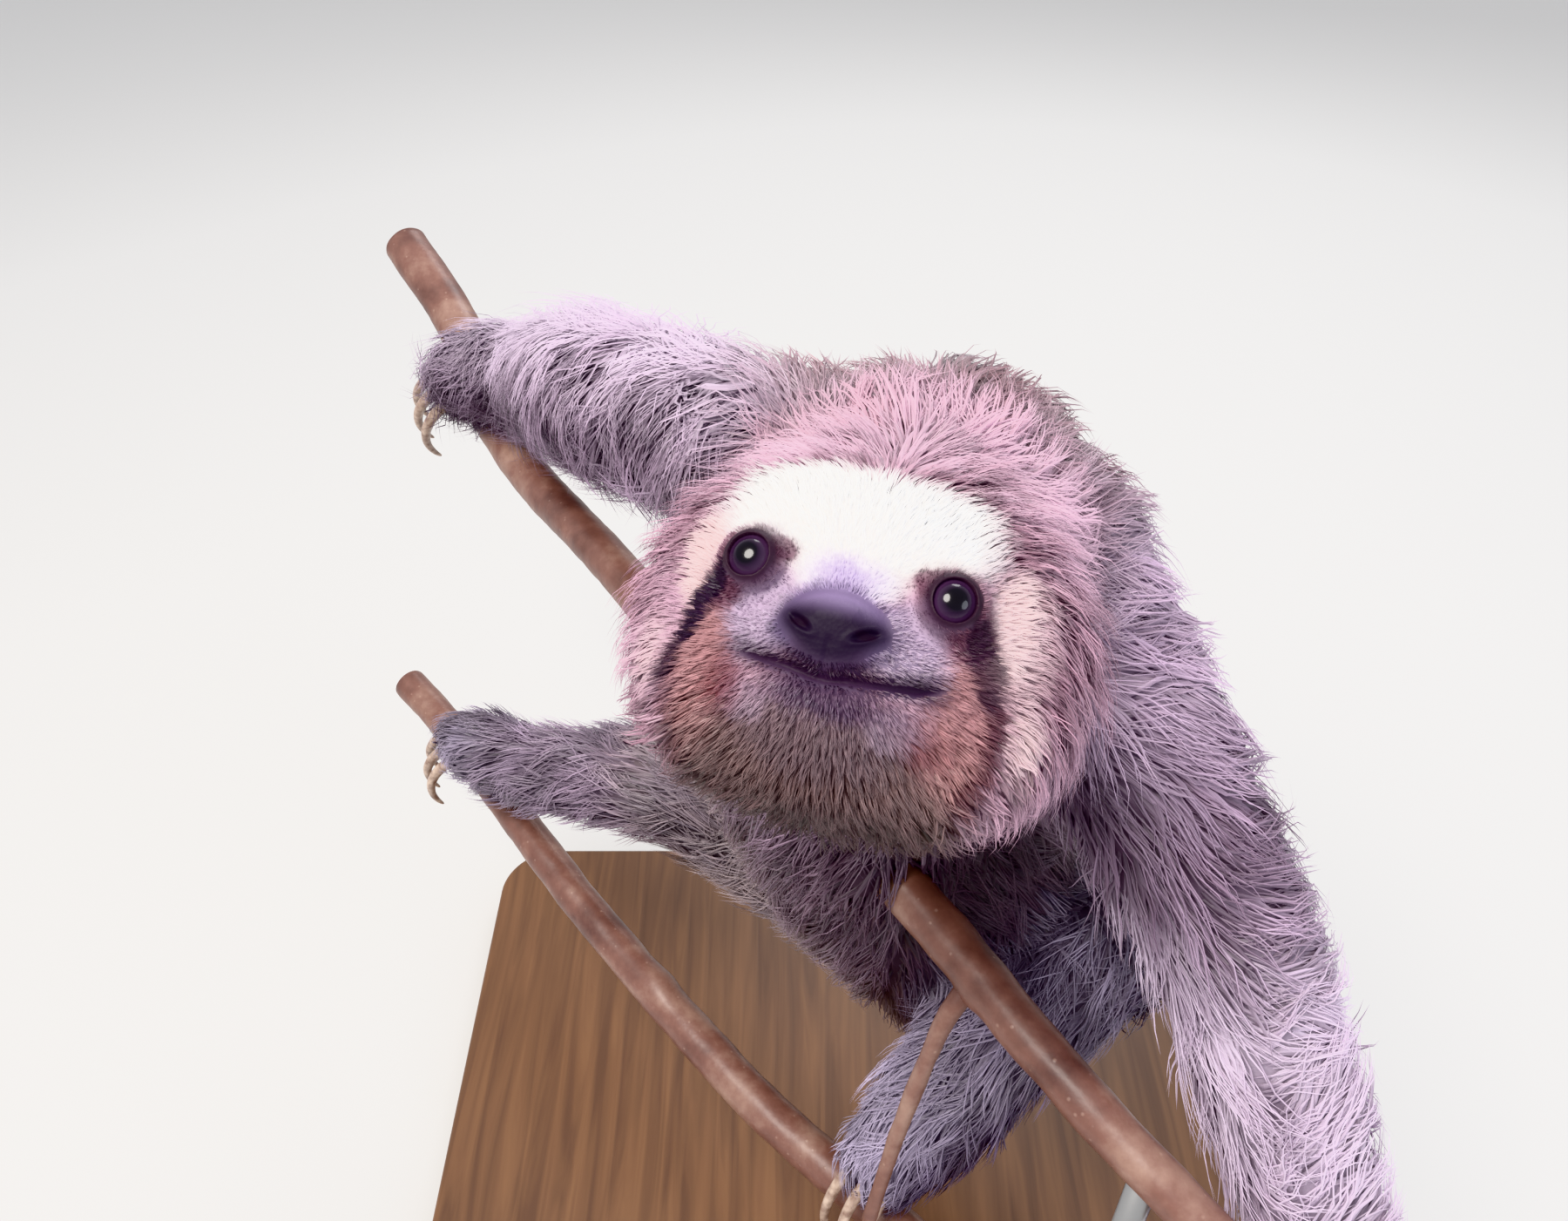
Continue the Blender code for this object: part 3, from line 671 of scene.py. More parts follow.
paintPoints(skin.data, "marks", skinColour)
paintPoints(skin.data, "wet", wet)
shade(skin.data, True)

# hide under the coat; bare and damp on the nose, lips and lids, with fine pores
bareHide, tree, shader = newMaterial("bareHide", IOR=1.42, Specular_IOR_Level=0.3)
marks = addNode(tree, "Attribute", attribute_name="marks")
damp = addNode(tree, "Attribute", attribute_name="wet").outputs["Fac"]
where = addNode(tree, "TexCoord").outputs["Object"]
pores = addNode(tree, "TexVoronoi", {"Vector": where, "Scale": 1 / (0.75 * mm)})
grain = addNode(tree, "TexNoise", {"Vector": where, "Scale": 1 / (2.5 * mm), "Detail": 4.0})
rough = addNode(tree, "MapRange", {"Value": damp, "To Min": 0.72, "To Max": 0.34})
pitted = addNode(tree, "Bump", {"Height": pores, "Strength": 0.3, "Distance": 0.18 * mm})
grained = addNode(tree, "Bump", {"Height": grain, "Strength": 0.2, "Distance": 0.4 * mm, "Normal": pitted})
setInputs(tree, shader, {"Base Color": marks, "Roughness": rough, "Normal": grained})
skin.data.materials.clear()
skin.data.materials.append(bareHide)
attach(skin, "root")
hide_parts(*fleshNodes)
print("markings: painted on the skin", flush=True)

# the coat, by region: tufts in all, pieces they are shared between, width in mm, rings along each,
# tufts to a lock, stray in degrees, side bend and wave as shares of the length, least and most lift
# as shares of the coat's depth, pull to the lock's tip, brightness at root and tip (the darker root
# partly the hair's own, partly painted shade deep in the coat), share of its hang that a tuft keeps
# where it would stand off the skin, share of undercoat, how much locks differ in brightness
commonCoat = {
    "pieces": 1, "width": 0.66, "rings": 3, "clump": 8, "wave": 0.0, "lift": (0.6, 1.25), "pull": 0.8,
    "dark": 0.7, "pale": 1.14, "loose": 0.35, "under": 0.42, "tint": 0.28,
}
legCoat = {"lift": (0.55, 1.2), "pull": 0.86, "dark": 0.64, "pale": 1.2, "under": 0.4}
coatPlan = {
    "face": {"tufts": 28000, "pieces": 2, "width": 0.3, "rings": 2, "clump": 4, "stray": 8, "bend": 0.10,
             "lift": (0.4, 0.8), "pull": 0.5, "dark": 0.95, "pale": 1.06, "under": 0.0, "tint": 0.1},
    "crown": {"tufts": 16600, "pieces": 2, "width": 0.38, "clump": 9, "stray": 15, "bend": 0.18,
              "pull": 0.85, "dark": 0.84, "pale": 1.12, "loose": 0.45, "under": 0.45},
    "neck": {"tufts": 6600, "width": 0.55, "clump": 9, "stray": 20, "bend": 0.22,
             "lift": (0.8, 1.6), "pull": 0.85, "dark": 0.84, "loose": 0.45},
    "trunkFront": {"tufts": 9600, "stray": 17, "bend": 0.2, "dark": 0.72},
    "trunkBack": {"tufts": 9600, "width": 0.74, "stray": 15, "bend": 0.18},
    "armR": {"tufts": 8700, "width": 0.62, "rings": 4, "clump": 12, "stray": 32, "bend": 0.4, "wave": 0.1,
             "lift": (0.6, 1.6), "pull": 0.95, "dark": 0.5, "pale": 1.24, "loose": 0.6, "under": 0.36},
    "armL": {"tufts": 8700, "width": 0.58, "rings": 4, "clump": 12, "stray": 17, "bend": 0.24, "wave": 0.04,
             "lift": (0.5, 1.2), "pull": 0.9, "dark": 0.56, "pale": 1.22, "loose": 0.45, "under": 0.4},
    "legR": {"tufts": 5800, "stray": 26, "bend": 0.28, **legCoat},
    "legL": {"tufts": 6200, "stray": 24, "bend": 0.26, **legCoat},
    "tail": {"tufts": 600, "width": 0.8, "clump": 5, "stray": 16, "bend": 0.2, "lift": (0.6, 1.1),
             "under": 0.35},
}
# the undercoat: wider, shorter, flatter and less drawn into locks
underPlan = {"width": 3.1, "length": 0.75, "lift": 0.55, "pull": 0.2, "thick": 0.24, "shade": 0.72}
ringPlan = {  # by rings: their places along a tuft, and its thickness there over its width
    2: ((0.0, 0.55), (0.85, 0.8)),
    3: ((0.0, 0.38, 0.74), (0.75, 1.0, 0.62)),
    4: ((0.0, 0.28, 0.54, 0.79), (0.75, 1.0, 0.85, 0.5)),
}
tuftPlan = {
    "nearNose": (2.2, (0, -4, 44), 20),  # how much denser there, where hair is short, and its reach in mm
    "swirl": (0.6, 1.6, 0.25),  # parts of the stray: by lock, by place and by tuft
    # ranges of locks and of single tufts, as shares
    "lockLength": (0.8, 1.2),
    "tuftLength": (0.82, 1.18),
    "tuftLift": (0.9, 1.1),
    "lockWave": (0.6, 1.4),
    "tuftWidth": (0.7, 1.3),
    "widest": (0.06, 0.06),  # half a tuft's width at most: a share of its length, and mm more
    "waves": 7.5,  # radians of wave along a tuft
    "roundHead": 0.75,  # how much fuller the coat stands there
    "flat": 0.4,  # thickness over width
    "sunk": 0.6,  # mm of the root under the skin
    "turning": 0.7,  # how far a tuft follows the body's own curve
    "steepest": 0.7,  # most rise over length
    "droop": 0.05,  # these two over length as well
    "toLead": 0.45,
    "tint": 0.09,  # how much the tufts of a lock differ in brightness
    "mapPatch": 0.003,  # a tuft's own patch on the map, root at one side and tip at the other
}
groupOf = {"neck": "neck", "tail": "tail"}
for side in "RL":
    groupOf.update({part + side: "arm" + side for part in ("upperArm", "forearm", "hand")})
    groupOf.update({part + side: "leg" + side for part in ("thigh", "shin", "foot")})
partLength = {  # mean length of the locks on each part, in mm
    "trunk": 25, "neck": 22, "head": 16, "upperArmR": 26, "forearmR": 30, "handR": 28,
    "upperArmL": 27, "forearmL": 25, "handL": 16, "thighR": 25, "shinR": 21, "footR": 15,
    "thighL": 25, "shinL": 24, "footL": 20, "tail": 15,
}
headLengths = (1.4, 3.2, 11, 2.5, 3.5)  # by the nose, and more in the face, crown, chin and left cheek

skin.data.calc_loop_triangles()
corners = np.empty(len(skin.data.loop_triangles) * 3, np.int32)
skin.data.loop_triangles.foreach_get("vertices", corners)
corners = corners.reshape(-1, 3)
skinPoints, skinNormals = pointsOf(skin.data), normalsOf(skin.data)
a, b, c = (skinPoints[corners[:, i]] for i in range(3))
areas = np.linalg.norm(np.cross(b - a, c - a), axis=1) / 2
centres = (a + b + c) / 3
triLocal = toHead(centres)
owner = np.array([partNames[i] for i in partWeights(centres)[0].argmax(1)])
inHead = headness(triLocal) > 0.5
behind = centres[:, 1] >= placed((0, 22, 0))[1]
group = np.array([groupOf.get(o, "trunkFront") for o in owner], dtype=object)
group[(owner == "trunk") & behind] = "trunkBack"
group[inHead] = "crown"
group[inHead & (faceness(triLocal) > 0.06)] = "face"


def noseGap(local):
    return np.linalg.norm(local - headPlan["muzzleTip"], axis=1)


def hairLength(weights, local):
    length = sum(shareOf(weights, name) * v for name, v in partLength.items())
    x, y, z = local.T
    fromNose = noseGap(local)
    nose, face, crown, chin, leftCheek = headLengths
    headLength = nose + face * eased(fromNose, 12, 30) + crown * eased(fromNose, 34, 62)
    headLength += chin * eased(-y, 18, 32) * eased(z, -20, 5) + leftCheek * eased(x, 28, 40)
    for side in (-1, 1):  # short by the eyes
        ring = eyeRing(local, side)[0]
        headLength *= 0.4 + 0.6 * eased(ring, 1.5, 3.6)
    return mixed(length[:, None], headLength[:, None], headness(local))[:, 0]


def headWay(local):  # short hair runs out from the nose; the cap parts and falls round the face
    x, y, z = local.T
    out = unit(local - np.array((0, -7, 38)))
    outer = eased(np.abs(x), 6, 30)
    parting = np.tanh(x / 7)
    fall = np.stack([0.9 * parting * (1 - 0.4 * outer), -0.15 - 0.75 * outer,
                     -0.35 - 0.8 * eased(-z, 0, 25)], axis=1)
    ring = ovalRing(local, (0, -3, 31, 26))
    cap = np.maximum(eased(ring, 0.95, 1.25), 1 - eased(z, 4, 14)) * (1 - 0.75 * eased(-y, 10, 24))
    return mixed(out, unit(fall), cap) @ headAxes


def hairWay(points, normals, weights, way, axis, local):  # the lie of the coat, along the skin
    trunkShare = shareOf(weights, "trunk") + 0.5 * shareOf(weights, "neck")
    sideways = np.sign(points[:, 0] - placed((28, 0, 0))[0])[:, None] * np.array((0.55, 0, 0)) + (0, 0.35, 0)
    way = unit(way) + trunkShare[:, None] * sideways
    way = way + np.array((0, 0, -0.2))  # wet hair hangs
    facingIt = np.abs(np.sum(unit(way) * normals, axis=1))  # there the hair runs down the part instead
    way = mixed(way, unit(axis), eased(facingIt, 0.75, 0.98))
    way = mixed(way, headWay(local), headness(local))
    way = way - normals * np.sum(way * normals, axis=1, keepdims=True)
    return unit(way)


def mayGrow(local):  # no hair on the nose, lips or lids
    free = padRing(local) > 0.93
    free |= local[:, 2] < 30
    height, reach = mouthLine(local)
    lips = (np.abs(height) < 0.5) & (reach > 0.5) & (local[:, 2] > 18)
    for side in (-1, 1):
        ring, _, depth, _ = eyeRing(local, side)
        free &= (ring > 1.25) | (depth < -6)
    return free & ~lips


def unwrapped(points, owners):  # round each part's own line, one tile to a part, filling the map
    uv = np.zeros((len(points), 2))
    parts = [name for name in partNames if (owners == name).any()]
    for tile, part in enumerate(parts):
        mine = owners == part
        lines = [line for line in bodyLines if line[0] == part]
        if part == "head":
            p = toHead(points[mine])
            turn, along = np.arctan2(p[:, 0], p[:, 2]), np.arctan2(p[:, 1], np.hypot(p[:, 0], p[:, 2]))
        else:
            a, b = placed(lines[0][1]), placed(lines[-1][2])
            axis = unit(b - a)
            off = points[mine] - a
            along = off @ axis
            off = off - along[:, None] * axis
            side = unit(off.mean(0) - axis * (off.mean(0) @ axis) + axis[[1, 2, 0]] * 1e-6)
            turn = np.arctan2(off @ np.cross(axis, side), off @ side)
        for i, value in enumerate((turn, along)):
            value = (value - value.min()) / max(np.ptp(value), 1e-9)
            uv[mine, i] = 0.01 + 0.98 * value
        uv[mine, 0] = (tile + uv[mine, 0]) / len(parts)
    return uv


skinTree = BVHTree.FromPolygons(skinPoints.tolist(), corners.tolist())


def laid(spots, heights, loose):  # a tuft never sinks into the skin, and keeps some of its hang off it
    found = [skinTree.find_nearest(p) for p in spots.tolist()]
    nearest = np.array([f[0][:] for f in found])
    out = unit(skinNormals[corners[[f[2] for f in found]]].mean(1))
    gap = np.sum((spots - nearest) * out, axis=1)
    return nearest + out * (heights + loose * np.maximum(gap - heights, 0))[:, None]


def between(low, high, count):
    return low + (high - low) * dice.random(count)


def scattered(name, count):  # tuft roots over a region, the skin's normals there and its triangles
    mine = np.flatnonzero(group == name)
    chance = areas[mine]
    if name == "face":
        gain, at, reach = tuftPlan["nearNose"]
        chance = chance * (1 + gain * np.exp(-np.linalg.norm(triLocal[mine] - at, axis=1) / reach))
    pick = mine[dice.choice(len(mine), count, p=chance / chance.sum())]
    r1, r2 = np.sqrt(dice.random(count)), dice.random(count)
    bary = np.stack([1 - r1, r1 * (1 - r2), r1 * r2], axis=1)[..., None]
    roots = (skinPoints[corners[pick]] * bary).sum(1)
    normals = unit((skinNormals[corners[pick]] * bary).sum(1))
    local = toHead(roots)
    keep = mayGrow(local)
    return roots[keep], normals[keep], local[keep], pick[keep]


# the darker roots are partly the hair's own, partly painted shade deep in the coat; undercoat tufts are
# darkened further by the undercoat's shade
def tuftColours(colour, plan, lock, locks, low, along):  # each lock and tuft a little its own, tips paler
    tint = 1 + plan["tint"] * dice.normal(size=locks)[lock]
    tint = np.clip(tint * (1 + tuftPlan["tint"] * dice.normal(size=len(lock))), 0.5, 1.6)
    whiteness = np.clip(colour.min(1) / 0.7, 0, 1)  # white hair varies less
    tint = tint + (1 - tint) * whiteness * 0.8
    gain = plan["dark"] + (plan["pale"] - plan["dark"]) * along
    gain = gain * np.where(low, underPlan["shade"], 1.0)[:, None]
    gain = gain + (1 - gain) * whiteness[:, None] * 0.5
    return np.clip(colour[:, None, :] * (tint[:, None] * gain)[..., None], 0, 0.97)


def growCoat(name, plan, count):
    roots, normals, local, pick = scattered(name, count)
    count = len(roots)
    weights, way, axis = partWeights(roots)
    way = hairWay(roots, normals, weights, way, axis, local)
    # locks: every tuft leans to the tip of the lock it belongs to
    leads = dice.choice(count, max(1, count // plan["clump"]), replace=False)
    nearby = KDTree(len(leads))
    for i, lead in enumerate(leads):
        nearby.insert(roots[lead], i)
    nearby.balance()
    lock = np.array([nearby.find(p)[1] for p in roots])
    n = len(leads)
    wavy = noiseAt(roots[leads], 20, 9.0)[lock]
    byLock, byPlace, byTuft = tuftPlan["swirl"]
    swirl = byLock * dice.normal(size=n)[lock] + byPlace * wavy + byTuft * dice.normal(size=count)
    swirl = np.radians(plan["stray"]) * swirl[:, None]
    way = way * np.cos(swirl) + np.cross(normals, way) * np.sin(swirl)
    across = np.cross(normals, way)
    share = between(*tuftPlan["lockLength"], n)[lock] * between(*tuftPlan["tuftLength"], count)
    low = dice.random(count) < plan["under"]  # undercoat tufts
    length = hairLength(weights, local) * share * np.where(low, underPlan["length"], 1.0) * mm
    lift = between(*plan["lift"], n)[lock] * between(*tuftPlan["tuftLift"], count)
    lift *= 1 + tuftPlan["roundHead"] * eased(noseGap(local), 44, 64) * headness(local)
    rise = depthAt(roots) * lift * np.where(low, underPlan["lift"], 1.0) * mm
    rise = np.minimum(rise, length * tuftPlan["steepest"])
    bend = length * plan["bend"] * (dice.normal(size=n)[lock] + 0.3 * dice.normal(size=count))
    wave = length * plan["wave"] * between(*tuftPlan["lockWave"], n)[lock]
    phase = between(0, math.tau, n)[lock]
    width = plan["width"] * mm / 2 * between(*tuftPlan["tuftWidth"], count)
    widest = length * tuftPlan["widest"][0] + tuftPlan["widest"][1] * mm
    width = np.minimum(width, widest) * np.where(low, underPlan["width"], 1.0)
    thin = np.where(low, underPlan["thick"], tuftPlan["flat"])
    pull = plan["pull"] * np.where(low, underPlan["pull"], 1.0)
    toLead = roots[leads[lock]] - roots
    toLead -= normals * np.sum(toLead * normals, axis=1, keepdims=True)
    gap = np.maximum(np.linalg.norm(toLead, axis=1), 1e-9)
    toLead *= np.minimum(1.0, tuftPlan["toLead"] * length / gap)[:, None]
    run = np.sqrt(np.maximum(length ** 2 - rise ** 2, 1e-12))
    turning = np.maximum(curving(roots, weights, way), 0.5) * tuftPlan["turning"]

    def spot(s):  # a place along each tuft, which bends with the body under it
        forward = way * (np.sin(turning * run * s) / turning)[:, None]
        sink = (1 - np.cos(turning * run * s)) / turning
        height = rise * (1.75 * s - 0.75 * s * s) - tuftPlan["sunk"] * mm * (1 - s)
        out = normals * (height - sink)[:, None]
        drop = np.array((0, 0, -tuftPlan["droop"])) * (length * s * s)[:, None]
        swing = np.sin(tuftPlan["waves"] * s + phase) - np.sin(phase)
        aside = bend * s * s + wave * swing * min(1.0, 2 * s)
        place = roots + forward + out + drop + across * aside[:, None] + toLead * (pull * s ** 1.3)[:, None]
        return laid(place, height, plan["loose"]) if s > 0 else place

    rings = plan["rings"]
    verts = np.empty((count, rings * 3 + 1, 3))
    along = np.ones((count, rings * 3 + 1))
    strand = np.zeros((count, rings * 3 + 1, 3))  # across and along each tuft in mm, and its own number
    for i, (s, thick) in enumerate(zip(*ringPlan[rings])):
        at = spot(s)
        for k in range(3):
            turn = math.tau * (k / 3) + math.pi / 2
            off = across * math.cos(turn) + normals * (math.sin(turn) * thin)[:, None]
            verts[:, i * 3 + k] = at + off * (width * thick)[:, None]
            strand[:, i * 3 + k, 0] = width / mm * math.cos(turn)
        along[:, i * 3:i * 3 + 3] = s
    verts[:, -1] = spot(1.0)
    strand[..., 1] = along * (length / mm)[:, None]
    strand[..., 2] = (100 * dice.random(count))[:, None]
    marked = markings(spot(0.6))  # where most of a tuft shows
    colours = tuftColours(marked, plan, lock, n, low, along)
    uv = unwrapped(roots, owner[pick])
    word = "coat" + name[0].upper() + name[1:]
    for i in range(plan["pieces"]):
        part = slice(i, None, plan["pieces"])
        label = word if plan["pieces"] == 1 else word + ("Under", "Over")[i]
        makeTufts(label, verts[part], colours[part], strand[part], uv[part], rings)


def makeTufts(name, verts, colours, strand, uv, rings):
    count, each = verts.shape[:2]
    faces = []
    for i in range(rings - 1):
        for k in range(3):
            m = (k + 1) % 3
            faces.append((i * 3 + k, i * 3 + m, i * 3 + 3 + m, i * 3 + 3 + k))
    last = (rings - 1) * 3
    tips = [(last + k, last + (k + 1) % 3, each - 1) for k in range(3)] + [(2, 1, 0)]
    loops = np.array([v for f in faces for v in f] + [v for f in tips for v in f])
    sizes = np.array([4] * len(faces) + [3] * len(tips))
    starts = np.concatenate([[0], np.cumsum(sizes)[:-1]])
    base = np.arange(count)[:, None]
    allLoops = (base * each + loops).ravel()
    allStarts = (base * len(loops) + starts).ravel()
    mesh = bpy.data.meshes.new(name)
    mesh.vertices.add(count * each)
    mesh.loops.add(len(allLoops))
    mesh.polygons.add(len(allStarts))
    mesh.vertices.foreach_set("co", verts.astype(np.float32).ravel())
    mesh.polygons.foreach_set("loop_start", allStarts.astype(np.int32))
    mesh.polygons.foreach_set("loop_total", np.tile(sizes, count).astype(np.int32))
    mesh.loops.foreach_set("vertex_index", allLoops.astype(np.int32))
    mesh.update(calc_edges=True)
    shade(mesh, False)
    paintPoints(mesh, "marks", colours.reshape(-1, 3))
    paintPoints(mesh, "strand", strand.reshape(-1, 3))
    stop = np.append(np.repeat(np.arange(rings) / rings, 3), 1.0)
    turn = np.append(np.tile([0.0, 0.5, 1.0], rings), 0.5)
    spread = np.stack([turn - 0.5, stop - 0.5], axis=1) * tuftPlan["mapPatch"]
    layer = mesh.uv_layers.new(name="OFBake")
    spots = uv[:, None, :] + spread[loops][None]
    layer.data.foreach_set("uv", spots.astype(np.float32).ravel())
    mesh.materials.append(coatHair)
    made = newObject(name, mesh)
    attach(made, "root")
    triangles = int((sizes - 2).sum()) * count
    print("coat:", name, count, "tufts", triangles, "triangles", flush=True)


# damp, coarse hair: marks from the mesh, and single hairs about 0.15 mm wide drawn along each tuft,
# in colour and in the surface, which gives the soft wet sheen
coatHair, tree, shader = newMaterial("coatHair", Roughness=0.46, IOR=1.55, Specular_IOR_Level=0.4)
marks = addNode(tree, "Attribute", attribute_name="marks")
where = addNode(tree, "Attribute", attribute_name="strand").outputs["Vector"]
hairs = addNode(tree, "Mapping", {"Vector": where, "Scale": (1 / 0.3, 1 / 14, 1.0)})
streaks = addNode(tree, "TexNoise", {"Vector": hairs, "Scale": 1.0, "Detail": 2.0})
gain = addNode(tree, "MapRange", {
    "Value": streaks, "From Min": 0.3, "From Max": 0.7, "To Min": 0.76, "To Max": 1.2})
streaked = addNode(tree, "VectorMath", {0: marks, 1: gain}, operation="MULTIPLY")
ridged = addNode(tree, "Bump", {"Height": streaks, "Strength": 0.5, "Distance": 0.2 * mm})
setInputs(tree, shader, {"Base Color": streaked, "Normal": ridged})

for name, own in coatPlan.items():
    plan = {**commonCoat, **own}
    growCoat(name, plan, plan["tufts"] // (1))

# the eyes: angles from the middle of the pupil in degrees, and the cornea's rise in mm
eyePlan = {"segments": 48, "corneaFrom": 14.0, "corneaTo": 38.0, "corneaRise": 0.45, "ringSpan": 60.0}
# a dark brown eye with a black pupil, under a clear wet film that gives the bright highlight
wetEye, tree, shader = newMaterial("wetEye", Roughness=0.25, IOR=1.38, Specular_IOR_Level=0.2,
                                   Coat_Weight=0.7, Coat_Roughness=0.08)
ringAt = addNode(tree, "Attribute", attribute_name="ring").outputs["Fac"]
iris = addNode(tree, "ValToRGB", {"Fac": ringAt}, stops=(
    (0.0, "#08050a"), (0.28, "#0b0710"), (0.40, "#2b1e30"), (0.60, "#443248"), (0.74, "#1c121c"),
    (1.0, "#1b1119")))
setInputs(tree, shader, {"Base Color": iris})
for side, word in ((1, "left"), (-1, "right")):
    centre, right, up, out = eyeFrame(side)
    bm = bmesh.new()
    bmesh.ops.create_uvsphere(bm, u_segments=eyePlan["segments"], v_segments=eyePlan["segments"] // 2,
                              radius=1.0)
    ball = np.array([v.co for v in bm.verts])
    mesh = meshFrom(bm, "eyeball_" + word)
    angle = np.degrees(np.arccos(np.clip(ball[:, 2], -1, 1)))
    cornea = eyePlan["corneaRise"] * (1 - eased(angle, eyePlan["corneaFrom"], eyePlan["corneaTo"]))
    spun = ball * (facePlan["eyeRadius"] + cornea)[:, None]
    setPoints(mesh, fromHead(centre + spun @ np.array([right, up, out])))
    paintPoints(mesh, "ring", angle / eyePlan["ringSpan"])
    shade(mesh, True)
    mesh.materials.append(wetEye)
    made = newObject("eyeball_" + word, mesh)
    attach(made, "root")
    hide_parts("eye_" + word)
print("eyes: set", flush=True)

# the claws; fill brings the smoothed horn back to the solid's thickness, in mm
clawPlan = {"halvings": 2, "fill": 0.3}
# horn: brown clouded with a pale pinkish brown, slightly uneven, with a soft shine
clawHorn, tree, shader = newMaterial("clawHorn", Roughness=0.34, IOR=1.54)
where = addNode(tree, "TexCoord").outputs["Object"]
clouds = addNode(tree, "TexNoise", {"Vector": where, "Scale": 1 / (3.0 * mm), "Detail": 5.0})
tone = addNode(tree, "ValToRGB", {"Fac": clouds}, stops=((0.3, "#7d6156"), (0.7, "#c9b3a2")))
uneven = addNode(tree, "Bump", {"Height": clouds, "Strength": 0.25, "Distance": 0.3 * mm})
setInputs(tree, shader, {"Base Color": tone, "Normal": uneven})
for name in sorted(n for n in nodes if n.startswith("claw_")):
    made = newObject("horn_" + name[5:], meshFrom(welded(name), "smooth_" + name))
    m = made.modifiers.new("round", "SUBSURF")
    m.levels = m.render_levels = clawPlan["halvings"]
    applied(made)
    setPoints(made.data, pointsOf(made.data) + normalsOf(made.data) * (clawPlan["fill"] * mm))
    shade(made.data, True)
    made.data.materials.clear()
    made.data.materials.append(clawHorn)
    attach(made, "root")
    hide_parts(name)
print("claws: twelve", flush=True)

# the branches, by places in the solids' plan and radii there, in mm
branchPlan = {
    "sides": 40,
    "twigSides": 20,
    "step": 2.2,
    "cutRise": 0.4,
    "cutShare": 0.93,  # what the bevel leaves of a sawn end
    "ringTurns": 34.0,  # radians of tone from pith to bark: about five rings
    "lumps": [(12, 3.0, 0.45), (4, 7.0, 0.16)],  # size, shift and height
    "upper": [
        ((-196, 322, 318), 10.5), ((-166, 279, 299), 10.2), ((-146, 236, 277), 9.6),
        ((-120, 190, 270), 9.0), ((-74, 115, 277), 8.4), ((-22, 34, 274), 8.0),
        ((29, -36, 271), 7.7), ((66, -92, 266), 7.0), ((98, -127, 254), 6.6), ((106, -137, 250), 6.5),
    ],
    "twig": [((44, -62, 268), 3.6), ((35, -69, 254), 2.9), ((25, -78, 214), 2.5), ((17, -87, 174), 2.2)],
    "lower": [
        ((-192, 178, 158), 7.6), ((-160, 143, 151), 7.8), ((-95, 62, 136), 8.0), ((-27, -14, 127), 8.2),
        ((16, -54, 124), 8.2), ((60, -98, 130), 8.0), ((102, -130, 140), 7.8), ((144, -154, 153), 7.6),
        ((182, -174, 167), 7.2),
    ],
    # swellings: place, height and width
    "upperKnots": [((42, -66, 264), 1.2, 5.0), ((-60, 92, 282), 1.0, 5.0), ((-170, 285, 296), 1.4, 7.0)],
    "lowerKnots": [((-60, 24, 138), 1.5, 7.0), ((120, -146, 152), 1.4, 7.0)],
}
# smooth, damp, reddish bark: broad patches of tone, pale raised pores and a fine grain
smoothBark, tree, shader = newMaterial("smoothBark", Roughness=0.4, IOR=1.46)
where = addNode(tree, "TexCoord").outputs["Object"]
patches = addNode(tree, "TexNoise", {
    "Vector": where, "Scale": 1 / (26 * mm), "Detail": 6.0, "Roughness": 0.62})
tone = addNode(tree, "ValToRGB", {"Fac": patches}, stops=(
    (0.28, "#553b37"), (0.5, "#7b5950"), (0.74, "#a38678")))
specks = addNode(tree, "TexVoronoi", {"Vector": where, "Scale": 1 / (4.2 * mm)})
pores = addNode(tree, "MapRange", {
    "Value": specks, "From Min": 0.06, "From Max": 0.16, "To Min": 0.22, "To Max": 0.0})
withPores = addNode(tree, "Mix", {0: pores, 6: tone, 7: solid("#c9ab9b")}, data_type="RGBA")
grain = addNode(tree, "TexNoise", {"Vector": where, "Scale": 1 / (3.5 * mm), "Detail": 5.0})
grained = addNode(tree, "Bump", {"Height": grain, "Strength": 0.3, "Distance": 0.5 * mm})
raised = addNode(tree, "Bump", {"Height": pores, "Strength": 0.5, "Distance": 0.5 * mm, "Normal": grained})
setInputs(tree, shader, {"Base Color": withPores.outputs[2], "Normal": raised})
# the sawn ends: pale wood with rings round the pith
sawnWood, tree, shader = newMaterial("sawnWood", Roughness=0.7, IOR=1.46)
ringAt = addNode(tree, "Attribute", attribute_name="ring").outputs["Fac"]
waves = addNode(tree, "Math", {0: ringAt, 1: branchPlan["ringTurns"]}, operation="MULTIPLY")
sine = addNode(tree, "Math", {0: waves}, operation="SINE")
height = addNode(tree, "MapRange", {"Value": sine, "From Min": -1.0})
tone = addNode(tree, "ValToRGB", {"Fac": height}, stops=((0.0, "#b08c68"), (1.0, "#d9bd97")))
setInputs(tree, shader, {"Base Color": tone})


def smoothPath(stations, step):  # a curve through the stations, and its radius all along
    places = [placed(p) for p, _ in stations]
    places = [2 * places[0] - places[1]] + places + [2 * places[-1] - places[-2]]
    radii = [r * mm for _, r in stations]
    out, sizes = [], []
    for i, (before, p1, p2, after) in enumerate(zip(places, places[1:], places[2:], places[3:])):
        count = max(2, int(np.linalg.norm(p2 - p1) / (step * mm)))
        for t in np.arange(count) / count:
            out.append(0.5 * (2 * p1 + (p2 - before) * t + (2 * before - 5 * p1 + 4 * p2 - after) * t * t
                              + (3 * p1 - before - 3 * p2 + after) * t ** 3))
            sizes.append(radii[i] + (radii[i + 1] - radii[i]) * t)
    return np.array(out + [places[-2]]), np.array(sizes + [radii[-1]])


